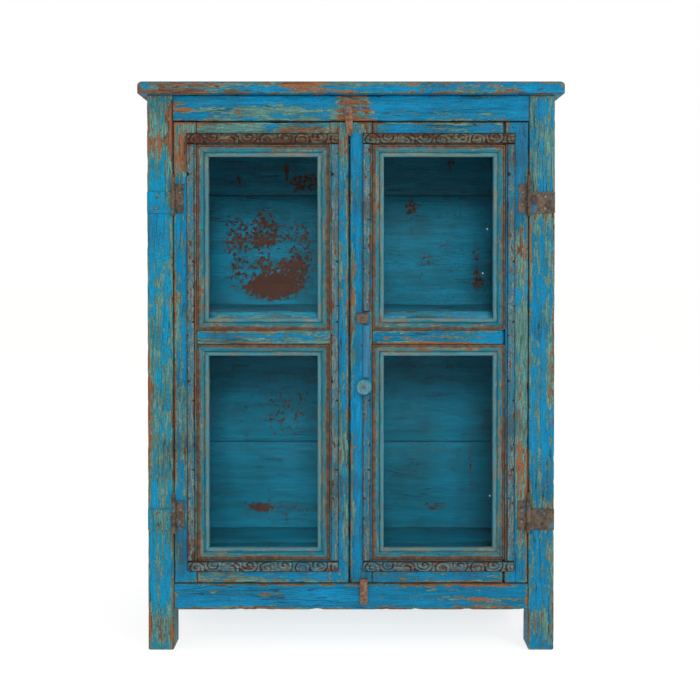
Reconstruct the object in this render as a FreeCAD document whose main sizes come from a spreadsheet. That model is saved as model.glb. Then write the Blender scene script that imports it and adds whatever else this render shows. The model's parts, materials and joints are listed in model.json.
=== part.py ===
"""China cabinet with two glass doors, in old painted wood.

Four square posts are joined by mortised rails. Planks close the back, sides, floor, shelf and top.
Two inset doors of rebated stiles and rails hold two panes each behind mitred beads, and hang on
knuckle hinges. A turn button at the top and one at the bottom keep them shut.

Sizes in millimetres. The cabinet stands on z = 0 and faces -Y. x = 0 is its middle, and y = 0 is
halfway between the knob's tip and the rear edge of the top.
"""
import FreeCAD, Part
import os
import re

import Sketcher

# Driving sizes: each one can be set by itself.
SIZES = {
    # overall
    "total_height": 1100.0,
    "body_width": 787.0,
    "body_depth": 365.0,
    # top boards
    "top_thickness": 25.0,
    "top_overhang": 15.0,
    "top_rear_overhang": 15.0,
    "top_board_gap": 1.0,
    "top_edge_radius": 9.0,
    # posts and rails
    "post_width": 50.0,
    "post_depth": 50.0,
    "foot_chamfer": 3.0,
    "leg_clearance": 79.0,
    "bottom_rail_height": 51.0,
    "top_rail_height": 50.0,
    "back_rail_thickness": 30.0,
    "side_rail_thickness": 25.0,
    "side_rail_setback": 5.0,
    "tenon_length": 22.0,
    "tenon_thickness": 10.0,
    "tenon_shoulder": 6.0,
    "joint_fit": 0.2,
    # side boards, held in grooves of the posts and rails
    "side_board_thickness": 12.0,
    "side_groove_depth": 8.0,
    "side_board_gap": 1.0,
    # back boards, nailed on from behind
    "back_board_thickness": 12.0,
    "back_board_gap": 1.5,
    "back_board_inset": 3.0,
    "back_boards_bottom": 95.0,
    "top_plank_cover": 164.0,
    "plank_cover": 287.0,
    # floor and shelf boards on their cleats
    "floor_top": 135.0,
    "shelf_top": 657.0,
    "shelf_setback": 40.0,
    "deck_thickness": 15.0,
    "deck_board_gap": 1.0,
    "deck_end_gap": 0.5,
    "cleat_width": 20.0,
    "cleat_height": 20.0,
    # door stop behind the front top rail
    "stop_thickness": 12.0,
    "stop_lap": 12.0,
    "stop_rise": 30.0,
    "stop_gap": 0.5,
    # doors
    "door_thickness": 22.0,
    "door_gap": 2.0,
    "hinge_side_gap": 1.5,
    "meeting_gap": 3.0,
    "meeting_offset": 3.0,
    "left_hinge_stile_width": 43.5,
    "left_meeting_stile_width": 37.5,
    "right_hinge_stile_width": 44.0,
    "right_meeting_stile_width": 42.0,
    "door_top_rail_height": 43.0,
    "door_bottom_rail_height": 44.0,
    "middle_rail_bottom": 595.0,
    "middle_rail_height": 27.0,
    "rebate_depth": 14.0,
    "door_tenon_length": 20.0,
    "door_tenon_thickness": 7.0,
    "door_tenon_shoulder": 5.0,
    # panes and the beads that hold them
    "glass_thickness": 3.0,
    "glass_fit": 1.0,
    "hinge_bead_width": 23.0,
    "meeting_bead_width": 19.0,
    "head_bead_width": 18.0,
    "upper_sill_bead_width": 28.0,
    "lower_sill_bead_width": 19.0,
    "bead_bevel": 7.0,
    # carved strips planted on the door faces
    "strip_thickness": 5.0,
    "strip_width": 15.0,
    "cross_strip_width": 20.0,
    "strip_gap": 3.0,
    "cross_strip_gap": 1.5,
    # hinges
    "hinge_height": 62.0,
    "upper_hinge_drop": 147.0,
    "lower_hinge_rise": 131.0,
    "knuckle_radius": 4.5,
    "knuckle_gap": 0.3,
    "knuckle_face_gap": 0.5,
    "pin_radius": 2.5,
    "pin_fit": 0.05,
    "pin_head_radius": 4.0,
    "pin_head_height": 2.0,
    "pin_tip_radius": 2.2,
    "pin_tip_height": 15.0,
    "leaf_thickness": 2.0,
    "leaf_clearance": 0.7,
    "frame_leaf_end_gap": 0.5,
    "door_leaf_width": 15.0,
    "leaf_inset": 3.0,
    # nails
    "nail_radius": 1.5,
    "nail_hole_fit": 0.2,
    "nail_head_radius": 3.0,
    "nail_head_height": 1.4,
    "hinge_nail_length": 20.0,
    "hinge_nail_spacing": 22.0,
    "frame_nail_reach": 31.0,
    "board_nail_length": 24.0,
    "board_nail_edge": 30.0,
    # turn buttons
    "button_thickness": 2.5,
    "button_pin_radius": 2.5,
    "button_pin_fit": 0.06,
    "button_pin_head_radius": 4.5,
    "button_pin_head_height": 2.0,
    "button_pin_length": 18.0,
    "button_end_gap": 0.3,
    "top_button_shift": -2.8,
    "top_button_rise": 19.0,
    "top_button_reach": 49.0,
    "top_button_head_radius": 8.5,
    "top_button_tip_radius": 5.5,
    "top_button_tilt": 5.0,
    "top_button_standoff": 6.0,
    "bottom_button_shift": 27.5,
    "bottom_button_drop": 34.0,
    "bottom_button_reach": 45.0,
    "bottom_button_head_radius": 7.2,
    "bottom_button_tip_radius": 7.2,
    "bottom_button_standoff": 1.5,
    "bottom_button_lip": 6.0,
    # knob and boss on the right door
    "knob_inset": 26.1,
    "knob_height": 515.0,
    "knob_radius": 14.5,
    "knob_neck_radius": 9.0,
    "knob_waist_radius": 7.5,
    "knob_projection": 28.0,
    "knob_waist_at": 7.0,
    "knob_rim_from": 15.0,
    "knob_rim_to": 22.0,
    "knob_face_radius": 9.0,
    "knob_rounding": 1.5,
    "knob_strip_clearance": 1.0,
    "knob_screw_radius": 2.5,
    "knob_screw_head_radius": 3.6,
    "knob_screw_head_height": 1.5,
    "knob_screw_length": 44.0,
    "screw_fit": 0.1,
    "boss_inset": 23.0,
    "boss_height": 645.0,
    "boss_radius": 12.5,
    "boss_thickness": 9.0,
    "boss_rounding": 5.0,
}

# Places and sizes that follow from the driving ones.
DERIVED = {
    "half_width": "body_width/2",
    "inner_x": "half_width - post_width",
    "rear_y": "(body_depth + top_rear_overhang + knob_projection)/2",
    "face_y": "rear_y - top_rear_overhang - body_depth",
    "back_y": "face_y + body_depth",
    "frame_top": "total_height - top_thickness",
    "front_rail_thickness": "door_thickness + stop_gap",
    "opening_bottom": "leg_clearance + bottom_rail_height",
    "opening_top": "frame_top - top_rail_height",
    "groove_mid_x": "half_width - side_rail_setback - side_rail_thickness/2",
    "side_inner_x": "groove_mid_x - side_rail_thickness/2",
    "floor_bottom": "floor_top - deck_thickness",
    "deck_rear_y": "back_y - deck_end_gap",
    "back_joint_high": "frame_top - top_plank_cover",
    "back_joint_middle": "back_joint_high - plank_cover",
    "back_joint_low": "back_joint_middle - plank_cover",
    "door_edge_x": "inner_x - hinge_side_gap",
    "meeting_x": "-meeting_offset",
    "door_bottom": "opening_bottom + door_gap",
    "door_top": "opening_top - door_gap",
    "middle_rail_top": "middle_rail_bottom + middle_rail_height",
    "upper_hinge_centre": "door_top - upper_hinge_drop",
    "lower_hinge_centre": "door_bottom + lower_hinge_rise",
    "hinge_axis_x": "inner_x - hinge_side_gap/2",
    "hinge_axis_y": "face_y - knuckle_radius - knuckle_face_gap",
    "knuckle_pitch": "hinge_height/4",
    "leaf_start": "knuckle_radius + leaf_clearance",
    "top_button_x": "meeting_x + top_button_shift",
    "top_button_pivot": "opening_top + top_button_rise",
    "bottom_button_x": "meeting_x + bottom_button_shift",
    "bottom_button_pivot": "opening_bottom - bottom_button_drop",
    "knob_x": "meeting_x + meeting_gap/2 + knob_inset",
    "boss_x": "meeting_x + meeting_gap/2 + boss_inset",
}
FRONT, BACK = "front", "back"
SIDES = (("left", -1), ("right", 1))
DECK_BOARDS = 3
SIDE_BOARDS = 3
TOP_BOARDS = 3
FRAME_KNUCKLES = (0, 2)
DOOR_KNUCKLES = (1, 3)
BODY_FACING_FRONT = FreeCAD.Rotation(FreeCAD.Vector(1, 0, 0), 90)
BODY_FACING_BACK = FreeCAD.Rotation(FreeCAD.Vector(1, 0, 0), -90)

doc = FreeCAD.newDocument("china_cabinet")
sheet = doc.addObject("Spreadsheet::Sheet", "sizes")
for row, (alias, number) in enumerate(SIZES.items(), start=1):
    sheet.set(f"A{row}", alias)
    sheet.set(f"B{row}", str(number))
    sheet.setAlias(f"B{row}", alias)
doc.recompute()
parts = {}


# ---------------------------------------------------------------- formulas
def formula(text):
    """Spells a formula out in sheet cells: a derived name becomes its own formula in brackets."""

    def spell(found):
        word = found.group(0)
        if word in DERIVED:
            return "(" + formula(DERIVED[word]) + ")"
        return "sizes." + word if word in SIZES else word

    return re.sub(r"[a-z]\w*", spell, str(text))


def bind(thing, name, text):
    """Ties one property of an object to a formula."""
    thing.setExpression(name, formula(text))


def less(high, low):
    return f"({high}) - ({low})"


def mirrored(side, near, far):
    """The (low, high) formulas of a stretch from near to far of the middle, on one side of it."""
    if side > 0:
        return near, far
    return f"-({far})", f"-({near})"


def shared(low, high, count, index, gap):
    """The (low, high) formulas of one of count equal boards with a gap between each two."""
    pitch = f"({less(high, low)} + {gap})/{count}"
    start = f"({low}) + {index}*{pitch}"
    return start, f"{start} + {pitch} - {gap}"


# ---------------------------------------------------------------- solids
def new_body(name, place, rotation=None):
    """A body whose own origin is at three formulas, turned so that its Z faces where it should."""
    body = doc.addObject("PartDesign::Body", name)
    body.Label = name
    if rotation is not None:
        body.Placement = FreeCAD.Placement(FreeCAD.Vector(), rotation)
    for axis, text in zip("xyz", place):
        bind(body, f"Placement.Base.{axis}", text)
    return body


def origin_plane(body, role):
    return next(item for item in body.Origin.OriginFeatures if item.Role == role)


def outline(body, plane, points):
    """A closed sketch of straight lines, with each corner's two distances tied to formulas."""
    sketch = body.newObject("Sketcher::SketchObject", body.Name + "_outline")
    sketch.AttachmentSupport = (origin_plane(body, plane), [""])
    sketch.MapMode = "FlatFace"
    rough = [FreeCAD.Vector(10.0 * step, step * step, 0) for step in range(len(points))]
    for start, end in zip(rough, rough[1:] + rough[:1]):
        sketch.addGeometry(Part.LineSegment(start, end), False)
    for line in range(len(points)):
        following = (line + 1) % len(points)
        sketch.addConstraint(Sketcher.Constraint("Coincident", line, 2, following, 1))
    for line, (across, along) in enumerate(points):
        for kind, text in (("DistanceX", across), ("DistanceY", along)):
            index = sketch.addConstraint(Sketcher.Constraint(kind, -1, 1, line, 1, 1.0))
            bind(sketch, f"Constraints[{index}]", text)
    return sketch


def pad(body, sketch, length):
    """Pads a sketch away from its plane's front, along the sketch's own normal."""
    feature = body.newObject("PartDesign::Pad", body.Name + "_pad")
    feature.Profile = sketch
    bind(feature, "Length", length)
    sketch.Visibility = False
    return feature


def finish(body):
    """Keeps a body as a part of the cabinet."""
    parts[body.Label] = body
    return body


def board(name, spans):
    """A sawn board: its section in plan padded upwards. spans holds (low, high) for x, y and z."""
    body = new_body(name, [low for low, _ in spans])
    width, depth, height = (less(high, low) for low, high in spans)
    corners = [("0", "0"), (width, "0"), (width, depth), ("0", depth)]
    pad(body, outline(body, "XY_Plane", corners), height)
    body.addProperty("App::PropertyStringList", "Corner", "Base", "the formulas of its low corner")
    body.Corner = [low for low, _ in spans]
    return body


def block(body, kind, spans):
    """Adds or cuts a square block, placed by the cabinet's own x, y and z formulas."""
    feature = body.newObject(f"PartDesign::{kind}Box", f"{body.Name}_{kind.lower()}")
    for name, axis, corner, (low, high) in zip(
        ("Length", "Width", "Height"), "xyz", body.Corner, spans
    ):
        bind(feature, name, less(high, low))
        bind(feature, f"Placement.Base.{axis}", less(low, corner))
    return feature


def cylinder(body, kind, radius, length, place, rotation=None):
    """Adds or cuts a cylinder at three formulas in the body's own frame."""
    feature = body.newObject(f"PartDesign::{kind}Cylinder", f"{body.Name}_{kind.lower()}_round")
    if rotation is not None:
        feature.Placement = FreeCAD.Placement(FreeCAD.Vector(), rotation)
    bind(feature, "Radius", radius)
    bind(feature, "Height", length)
    for axis, text in zip("xyz", place):
        bind(feature, f"Placement.Base.{axis}", text)
    return feature


def dress(body, kind, size, wanted):
    """Rounds or bevels the edges that a test picks, and fails if it picks none."""
    doc.recompute()
    base = body.Tip
    names = [
        f"Edge{number}" for number, edge in enumerate(base.Shape.Edges, start=1) if wanted(edge)
    ]
    if not names:
        raise RuntimeError(f"{body.Label}: no edge to {kind.lower()}")
    feature = body.newObject(f"PartDesign::{kind}", f"{body.Name}_{kind.lower()}")
    feature.Base = (base, names)
    bind(feature, "Radius" if kind == "Fillet" else "Size", size)
    return feature


def group(name, members):
    """Several separate solids kept as one part."""
    compound = doc.addObject("Part::Compound", name)
    compound.Label = name
    compound.Links = members
    for member in members:
        parts.pop(member.Label, None)
    return finish(compound)


# ---------------------------------------------------------------- frame of posts and rails
def rail_height(level):
    """The (low, high) formulas of a top or bottom rail."""
    if level == "top":
        return "opening_top", "frame_top"
    return "leg_clearance", "opening_bottom"


def back_rail_height(level):
    """The back bottom rail stops under the floor, which rests on it."""
    return rail_height(level) if level == "top" else ("leg_clearance", "floor_bottom")


def tenon_height(heights, play="0"):
    low, high = heights
    return f"{low} + tenon_shoulder - {play}", f"{high} - tenon_shoulder + {play}"


def cross_rail_depth(where):
    """The (low, high) y of the rails between the two front posts or the two back posts."""
    if where == FRONT:
        return "face_y", "face_y + front_rail_thickness"
    return "back_y - back_rail_thickness", "back_y"


def middle_of(span, thickness, play="0"):
    """A stretch of a thickness about the middle of another, with play on both sides."""
    low, high = span
    half = f"({thickness})/2 + {play}"
    return f"(({low}) + ({high}))/2 - ({half})", f"(({low}) + ({high}))/2 + ({half})"


def side_tenon_x(side, play="0"):
    return mirrored(
        side,
        f"groove_mid_x - side_board_thickness/2 - {play}",
        f"groove_mid_x + side_board_thickness/2 + {play}",
    )


def post_inner_depth(where, depth):
    """The (low, high) y of a cut that goes in from the face a post turns to its side rails."""
    if where == FRONT:
        return f"face_y + post_depth - {depth}", "face_y + post_depth + joint_fit"
    return "back_y - post_depth - joint_fit", f"back_y - post_depth + {depth}"


def is_foot_edge(edge):
    return edge.BoundBox.ZMax < 1e-3


def make_post(name, where, side):
    depth = ("face_y", "face_y + post_depth") if where == FRONT else ("back_y - post_depth", "back_y")
    body = board(name, [mirrored(side, "inner_x", "half_width"), depth, ("0", "frame_top")])
    dress(body, "Chamfer", "foot_chamfer", is_foot_edge)
    for level in ("bottom", "top"):
        heights = rail_height(level) if where == FRONT else back_rail_height(level)
        socket_x = mirrored(side, "inner_x - joint_fit", "inner_x + tenon_length + joint_fit")
        socket_y = middle_of(cross_rail_depth(where), "tenon_thickness", "joint_fit")
        block(body, "Subtractive", [socket_x, socket_y, tenon_height(heights, "joint_fit")])
        socket_y = post_inner_depth(where, "(tenon_length + joint_fit)")
        socket_z = tenon_height(rail_height(level), "joint_fit")
        block(body, "Subtractive", [side_tenon_x(side, "joint_fit"), socket_y, socket_z])
    groove_y = post_inner_depth(where, "(side_groove_depth + joint_fit)")
    groove_z = ("opening_bottom - side_groove_depth - joint_fit", "opening_top + side_groove_depth")
    block(body, "Subtractive", [side_tenon_x(side, "joint_fit"), groove_y, groove_z])
    finish(body)


def make_cross_rail(name, where, heights):
    """A rail between two posts, with one tongue right through it that makes both tenons."""
    depth = cross_rail_depth(where)
    body = board(name, [("-(inner_x)", "inner_x"), depth, heights])
    tongue_x = ("-(inner_x + tenon_length)", "inner_x + tenon_length")
    block(body, "Additive", [tongue_x, middle_of(depth, "tenon_thickness"), tenon_height(heights)])
    finish(body)


def make_side_rail(name, side, level):
    """A side rail, with its two tenons and the groove that holds the side boards."""
    heights = rail_height(level)
    across = mirrored(side, "side_inner_x", "side_inner_x + side_rail_thickness")
    body = board(name, [across, ("face_y + post_depth", "back_y - post_depth"), heights])
    tongue_y = ("face_y + post_depth - tenon_length", "back_y - post_depth + tenon_length")
    block(body, "Additive", [side_tenon_x(side), tongue_y, tenon_height(heights)])
    depth = "side_groove_depth + joint_fit"
    if level == "top":
        groove_z = (f"{heights[0]} - joint_fit", f"{heights[0]} + {depth}")
    else:
        groove_z = (f"{heights[1]} - ({depth})", f"{heights[1]} + joint_fit")
    block(body, "Subtractive", [side_tenon_x(side, "joint_fit"), tongue_y, groove_z])
    finish(body)


for where in (FRONT, BACK):
    for side_name, side in SIDES:
        make_post(f"{where}_{side_name}_post", where, side)
for level in ("top", "bottom"):
    make_cross_rail(f"front_{level}_rail", FRONT, rail_height(level))
    make_cross_rail(f"back_{level}_rail", BACK, back_rail_height(level))
    for side_name, side in SIDES:
        make_side_rail(f"{side_name}_side_{level}_rail", side, level)


# ---------------------------------------------------------------- boards
def make_side_boards(name, side):
    """Boards one above another, with their ends in the posts' grooves."""
    depth = (
        "face_y + post_depth - side_groove_depth",
        "back_y - post_depth + side_groove_depth",
    )
    low, high = "opening_bottom - side_groove_depth", "opening_top + side_groove_depth - joint_fit"
    group(name, [
        board(
            f"{name}_{number + 1}",
            [side_tenon_x(side), depth, shared(low, high, SIDE_BOARDS, number, "side_board_gap")],
        )
        for number in range(SIDE_BOARDS)
    ])


def make_back_boards():
    """Planks across the back, numbered from the bottom."""
    joints = [
        "back_boards_bottom - back_board_gap/2",
        "back_joint_low",
        "back_joint_middle",
        "back_joint_high",
        "frame_top + back_board_gap/2",
    ]
    across = ("-(half_width - back_board_inset)", "half_width - back_board_inset")
    depth = ("back_y", "back_y + back_board_thickness")
    for number, (low, high) in enumerate(zip(joints, joints[1:]), start=1):
        heights = (f"{low} + back_board_gap/2", f"{high} - back_board_gap/2")
        finish(board(f"back_board_{number}", [across, depth, heights]))


def notch_round_posts(body, low, high):
    """Cuts both ends of a floor or shelf board back to the posts, between two depths."""
    for _, side in SIDES:
        across = mirrored(side, "inner_x - deck_end_gap", "side_inner_x + deck_end_gap")
        block(body, "Subtractive", [across, (low, high), ("0", "total_height")])


def make_deck(name, front, top):
    """Floor or shelf boards that run from side to side, with the outer two cut round the posts."""
    across = ("-(side_inner_x - deck_end_gap)", "side_inner_x - deck_end_gap")
    heights = (f"{top} - deck_thickness", top)
    boards = []
    for number in range(DECK_BOARDS):
        depth = shared(front, "deck_rear_y", DECK_BOARDS, number, "deck_board_gap")
        boards.append(board(f"{name}_{number + 1}", [across, depth, heights]))
    notch_round_posts(boards[0], f"{front} - joint_fit", "face_y + post_depth + deck_end_gap")
    notch_round_posts(boards[-1], "back_y - post_depth - deck_end_gap", "back_y")
    group(name, boards)


def make_cleats(name, front, top):
    """Battens under both ends of a floor or shelf, fixed to the posts."""
    depth = (front, "back_y - back_rail_thickness")
    heights = (f"{top} - deck_thickness - cleat_height", f"{top} - deck_thickness")
    group(name, [
        board(f"{side_name}_{name[:-1]}", [mirrored(side, "inner_x - cleat_width", "inner_x"),
                                           depth, heights])
        for side_name, side in SIDES
    ])


def make_top_board(number):
    """A top board with its upper outer edges rounded. Number 0 is the front one."""
    across = ("-(half_width + top_overhang)", "half_width + top_overhang")
    depth = shared("face_y - top_overhang", "rear_y", TOP_BOARDS, number, "top_board_gap")
    body = board(f"top_board_{number + 1}", [across, depth, ("frame_top", "total_height")])

    def is_outer_top_edge(edge):
        shape = body.Tip.Shape.BoundBox
        box = edge.BoundBox
        if box.ZMin < shape.ZMax - 1e-3:
            return False
        at_end = box.XMax - box.XMin < 1e-3
        at_front = number == 0 and box.YMax < shape.YMin + 1e-3
        return at_end or at_front

    dress(body, "Fillet", "top_edge_radius", is_outer_top_edge)
    finish(body)


for side_name, side in SIDES:
    make_side_boards(f"{side_name}_side_boards", side)
make_back_boards()
FLOOR_FRONT = "face_y + front_rail_thickness"
SHELF_FRONT = "face_y + shelf_setback"
for deck, front, top in (("floor", FLOOR_FRONT, "floor_top"), ("shelf", SHELF_FRONT, "shelf_top")):
    make_deck(f"{deck}_boards", front, top)
    make_cleats(f"{deck}_cleats", front, top)
for number in range(TOP_BOARDS):
    make_top_board(number)
STOP_BACK = "face_y + front_rail_thickness + stop_thickness"
finish(board("top_door_stop", [
    ("-(inner_x)", "inner_x"),
    ("face_y + front_rail_thickness", STOP_BACK),
    ("door_top - stop_lap", "door_top + stop_rise"),
]))


# ---------------------------------------------------------------- turned pieces
def facing_front(name, x, y, z):
    """A body whose own Z comes straight out of the cabinet's front, with its origin at x, y, z."""
    return new_body(name, (x, y, z), BODY_FACING_FRONT)


def make_nail(name, x, y, z, length, rotation=BODY_FACING_FRONT):
    """A round nail with a flat head. Its origin is under the head, and its Z is away from the wood."""
    body = new_body(name, (x, y, z), rotation)
    cylinder(body, "Additive", "nail_head_radius", "nail_head_height", ("0", "0", "0"))
    cylinder(body, "Additive", "nail_radius", length, ("0", "0", f"-({length})"))
    return body


# ---------------------------------------------------------------- doors
class Door:
    """One door. Places across it are measured from its hinge edge towards the middle."""

    def __init__(self, name, side):
        self.name, self.side = name, side
        self.hinge_stile = f"{name}_hinge_stile_width"
        self.meeting_stile = f"{name}_meeting_stile_width"
        offset = "meeting_offset" if side > 0 else "-meeting_offset"
        self.width = f"(door_edge_x + {offset} - meeting_gap/2)"
        self.pane = (self.hinge_stile, f"{self.width} - {self.meeting_stile}")
        self.sight = (
            f"{self.hinge_stile} + hinge_bead_width",
            f"{self.width} - {self.meeting_stile} - meeting_bead_width",
        )

    def across(self, low, high):
        return mirrored(self.side, f"door_edge_x - ({high})", f"door_edge_x - ({low})")

    def node(self, piece):
        return f"{self.name}_door_{piece}"


DOOR_BACK = "face_y + door_thickness"
REBATE_BACK = "face_y + rebate_depth"
TENON_DEPTH = middle_of(("face_y", REBATE_BACK), "door_tenon_thickness")
SOCKET_DEPTH = middle_of(("face_y", REBATE_BACK), "door_tenon_thickness", "joint_fit")
DOOR_RAILS = {
    # name: the front's (low, high), and the (low, high) of the back with its glazing lips
    "top": (
        ("door_top - door_top_rail_height", "door_top"),
        ("door_top - door_top_rail_height - head_bead_width", "door_top"),
    ),
    "middle": (
        ("middle_rail_bottom", "middle_rail_top"),
        ("middle_rail_bottom - head_bead_width", "middle_rail_top + upper_sill_bead_width"),
    ),
    "bottom": (
        ("door_bottom", "door_bottom + door_bottom_rail_height"),
        ("door_bottom", "door_bottom + door_bottom_rail_height + lower_sill_bead_width"),
    ),
}
PANES = {
    # name: the (low, high) of the rebate, then of what is seen between the beads
    "upper": (
        ("middle_rail_top", "door_top - door_top_rail_height"),
        ("middle_rail_top + upper_sill_bead_width",
         "door_top - door_top_rail_height - head_bead_width"),
    ),
    "lower": (
        ("door_bottom + door_bottom_rail_height", "middle_rail_bottom"),
        ("door_bottom + door_bottom_rail_height + lower_sill_bead_width",
         "middle_rail_bottom - head_bead_width"),
    ),
}


def door_tenon_height(rail, play="0"):
    low, high = DOOR_RAILS[rail][0]
    return f"{low} + door_tenon_shoulder - {play}", f"{high} - door_tenon_shoulder + {play}"


def make_stile(door, piece):
    """A full-height stile with a rebate for glass and bead along its inner edge, and mortises."""
    if piece == "hinge_stile":
        body_span, rebate = ("0", door.sight[0]), (door.pane[0], door.sight[0])
        socket = (f"{door.pane[0]} - door_tenon_length - joint_fit", door.pane[0])
    else:
        body_span, rebate = (door.sight[1], door.width), (door.sight[1], door.pane[1])
        socket = (door.pane[1], f"{door.pane[1]} + door_tenon_length + joint_fit")
    name = door.node(piece)
    body = board(name, [door.across(*body_span), ("face_y", DOOR_BACK), ("door_bottom", "door_top")])
    front = ("face_y - joint_fit", REBATE_BACK)
    block(body, "Subtractive", [door.across(*rebate), front, ("0", "total_height")])
    for rail in DOOR_RAILS:
        heights = door_tenon_height(rail, "joint_fit")
        block(body, "Subtractive", [door.across(*socket), SOCKET_DEPTH, heights])
    finish(body)


def make_door_rail(door, rail):
    """A rail: its back with the glazing lips, its wider front, and a tongue that makes both tenons."""
    front_heights, back_heights = DOOR_RAILS[rail]
    name = door.node(f"{rail}_rail")
    body = board(name, [door.across(*door.sight), (REBATE_BACK, DOOR_BACK), back_heights])
    front = [door.across(*door.pane), ("face_y", REBATE_BACK), front_heights]
    block(body, "Additive", front)
    low, high = door.pane
    tongue = door.across(f"{low} - door_tenon_length", f"{high} + door_tenon_length")
    block(body, "Additive", [tongue, TENON_DEPTH, door_tenon_height(rail)])
    finish(body)


def make_glass(door, pane):
    """A pane against the lips of its rebate."""
    across = door.across(f"{door.pane[0]} + glass_fit", f"{door.pane[1]} - glass_fit")
    low, high = PANES[pane][0]
    heights = (f"{low} + glass_fit", f"{high} - glass_fit")
    depth = (f"{REBATE_BACK} - glass_thickness", REBATE_BACK)
    finish(board(door.node(f"{pane}_glass"), [across, depth, heights]))


def make_bead(name, corners):
    """A mitred bead in front of the glass, seen from the front as four corners, inner pair last."""
    body = new_body(name, ("0", f"{REBATE_BACK} - glass_thickness", "0"))
    pad(body, outline(body, "XZ_Plane", corners), "rebate_depth - glass_thickness")

    def is_inner_front_edge(edge):
        face = [item for item in body.Tip.Shape.Edges
                if item.BoundBox.YMax < body.Tip.Shape.BoundBox.YMin + 1e-3]
        longest = sorted(face, key=lambda item: item.Length)[-2:]
        return longest[0].isSame(edge)

    dress(body, "Chamfer", "bead_bevel", is_inner_front_edge)
    return body


def make_beads(door, pane):
    """Four beads round a pane, mitred where they meet."""
    left, right = door.across(*door.pane)
    seen_left, seen_right = door.across(*door.sight)
    (low, high), (seen_low, seen_high) = PANES[pane]
    sides = {
        "sill": [(left, low), (right, low), (seen_right, seen_low), (seen_left, seen_low)],
        "right": [(right, low), (right, high), (seen_right, seen_high), (seen_right, seen_low)],
        "head": [(right, high), (left, high), (seen_left, seen_high), (seen_right, seen_high)],
        "left": [(left, high), (left, low), (seen_left, seen_low), (seen_left, seen_high)],
    }
    name = door.node(f"{pane}_beads")
    group(name, [make_bead(f"{name}_{where}", corners) for where, corners in sides.items()])


def strip_spans(door):
    """The (across, height) of the four strips that frame both panes of a door."""
    low = f"{PANES['lower'][0][0]} - cross_strip_gap - cross_strip_width"
    high = f"{PANES['upper'][0][1]} + cross_strip_gap + cross_strip_width"
    hinge_side = f"{door.pane[0]} - strip_gap"
    meeting_side = f"{door.pane[1]} + strip_gap"
    between = door.across(hinge_side, meeting_side)
    return {
        "hinge": (door.across(f"{hinge_side} - strip_width", hinge_side), (low, high)),
        "meeting": (door.across(meeting_side, f"{meeting_side} + strip_width"), (low, high)),
        "top": (between, (f"{high} - cross_strip_width", high)),
        "bottom": (between, (low, f"{low} + cross_strip_width")),
    }


def cut_round(body, x, z, radius):
    """Cuts a round notch through a strip, as wide as what stands in it."""
    corner_x, corner_y, corner_z = body.Corner
    place = (less(x, corner_x), less("face_y", corner_y), less(z, corner_z))
    cylinder(body, "Subtractive", radius, "2*strip_thickness", place, BODY_FACING_FRONT)


def make_strips(door):
    """The carved strips planted on a door's face. On the right door one is cut round two pieces."""
    name = door.node("carved_strips")
    depth = ("face_y - strip_thickness", "face_y")
    strips = {}
    for where, (across, heights) in strip_spans(door).items():
        strips[where] = board(f"{name}_{where}", [across, depth, heights])
    if door.side > 0:
        cut_round(strips["meeting"], "knob_x", "knob_height", "knob_neck_radius + knob_strip_clearance")
        cut_round(strips["meeting"], "boss_x", "boss_height", "boss_radius + knob_strip_clearance")
    group(name, list(strips.values()))


doors = [Door(side_name, side) for side_name, side in SIDES]
for door in doors:
    for piece in ("hinge_stile", "meeting_stile"):
        make_stile(door, piece)
    for rail in DOOR_RAILS:
        make_door_rail(door, rail)
    for pane in PANES:
        make_glass(door, pane)
        make_beads(door, pane)
    make_strips(door)


# ---------------------------------------------------------------- hinges
HINGE_LEVELS = (("upper", "upper_hinge_centre"), ("lower", "lower_hinge_centre"))


def knuckle_span(number):
    """The (low, high) height of a knuckle above the hinge's lower end."""
    return (f"{number}*knuckle_pitch + knuckle_gap/2", f"{number + 1}*knuckle_pitch - knuckle_gap/2")


def nail_places(knuckles):
    """The heights of a leaf's two nails above the hinge's lower end, about the plate's middle."""
    middle = f"({knuckles[-1] + 1})*knuckle_pitch/2"
    return [f"{middle} + {sign}*hinge_nail_spacing/2" for sign in (-1, 1)]


def make_leaf(name, side, centre, away, reach, knuckles, nail_reach):
    """A hinge leaf: a plate on the wood, and the knuckles that it is rolled into round the pin.

    away is the direction from the pin to the plate, +1 or -1 along x. reach is how far the plate
    goes, and nail_reach is where its nails are. The plate ends at the last knuckle's top.
    """
    plate_low = "leaf_inset"
    plate_high = f"({knuckles[-1] + 1})*knuckle_pitch - leaf_inset"

    def span(near, far):
        return mirrored(away, near, far)

    body = new_body(name, (f"{side}*hinge_axis_x", "hinge_axis_y", f"{centre} - hinge_height/2"))
    body.addProperty("App::PropertyStringList", "Corner", "Base", "the formulas of its own origin")
    body.Corner = ["0", "0", "0"]
    face = "(knuckle_radius + knuckle_face_gap)"
    plate_depth = (f"{face} - leaf_thickness", face)
    block(body, "Additive", [span("leaf_start", reach), plate_depth, (plate_low, plate_high)])
    for number in knuckles:
        low, high = knuckle_span(number)
        cylinder(body, "Additive", "knuckle_radius", less(high, low), ("0", "0", low))
        tab_low = f"max({low}; {plate_low})"
        tab_high = f"min({high}; {plate_high})"
        block(body, "Additive", [span("0", "leaf_start"), plate_depth, (tab_low, tab_high)])
    cylinder(body, "Subtractive", "pin_radius + pin_fit", "hinge_height", ("0", "0", "0"))
    for height in nail_places(knuckles):
        place = (f"{away}*({nail_reach})", face, height)
        hole = "nail_radius + nail_hole_fit"
        cylinder(body, "Subtractive", hole, "2*leaf_thickness", place, BODY_FACING_FRONT)
    return body


FRAME_LEAF_REACH = "half_width - hinge_axis_x - frame_leaf_end_gap"
FRAME_NAIL_REACH = "frame_nail_reach"
DOOR_LEAF_REACH = "leaf_start + door_leaf_width"
DOOR_NAIL_REACH = "leaf_start + door_leaf_width/2"


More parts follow.
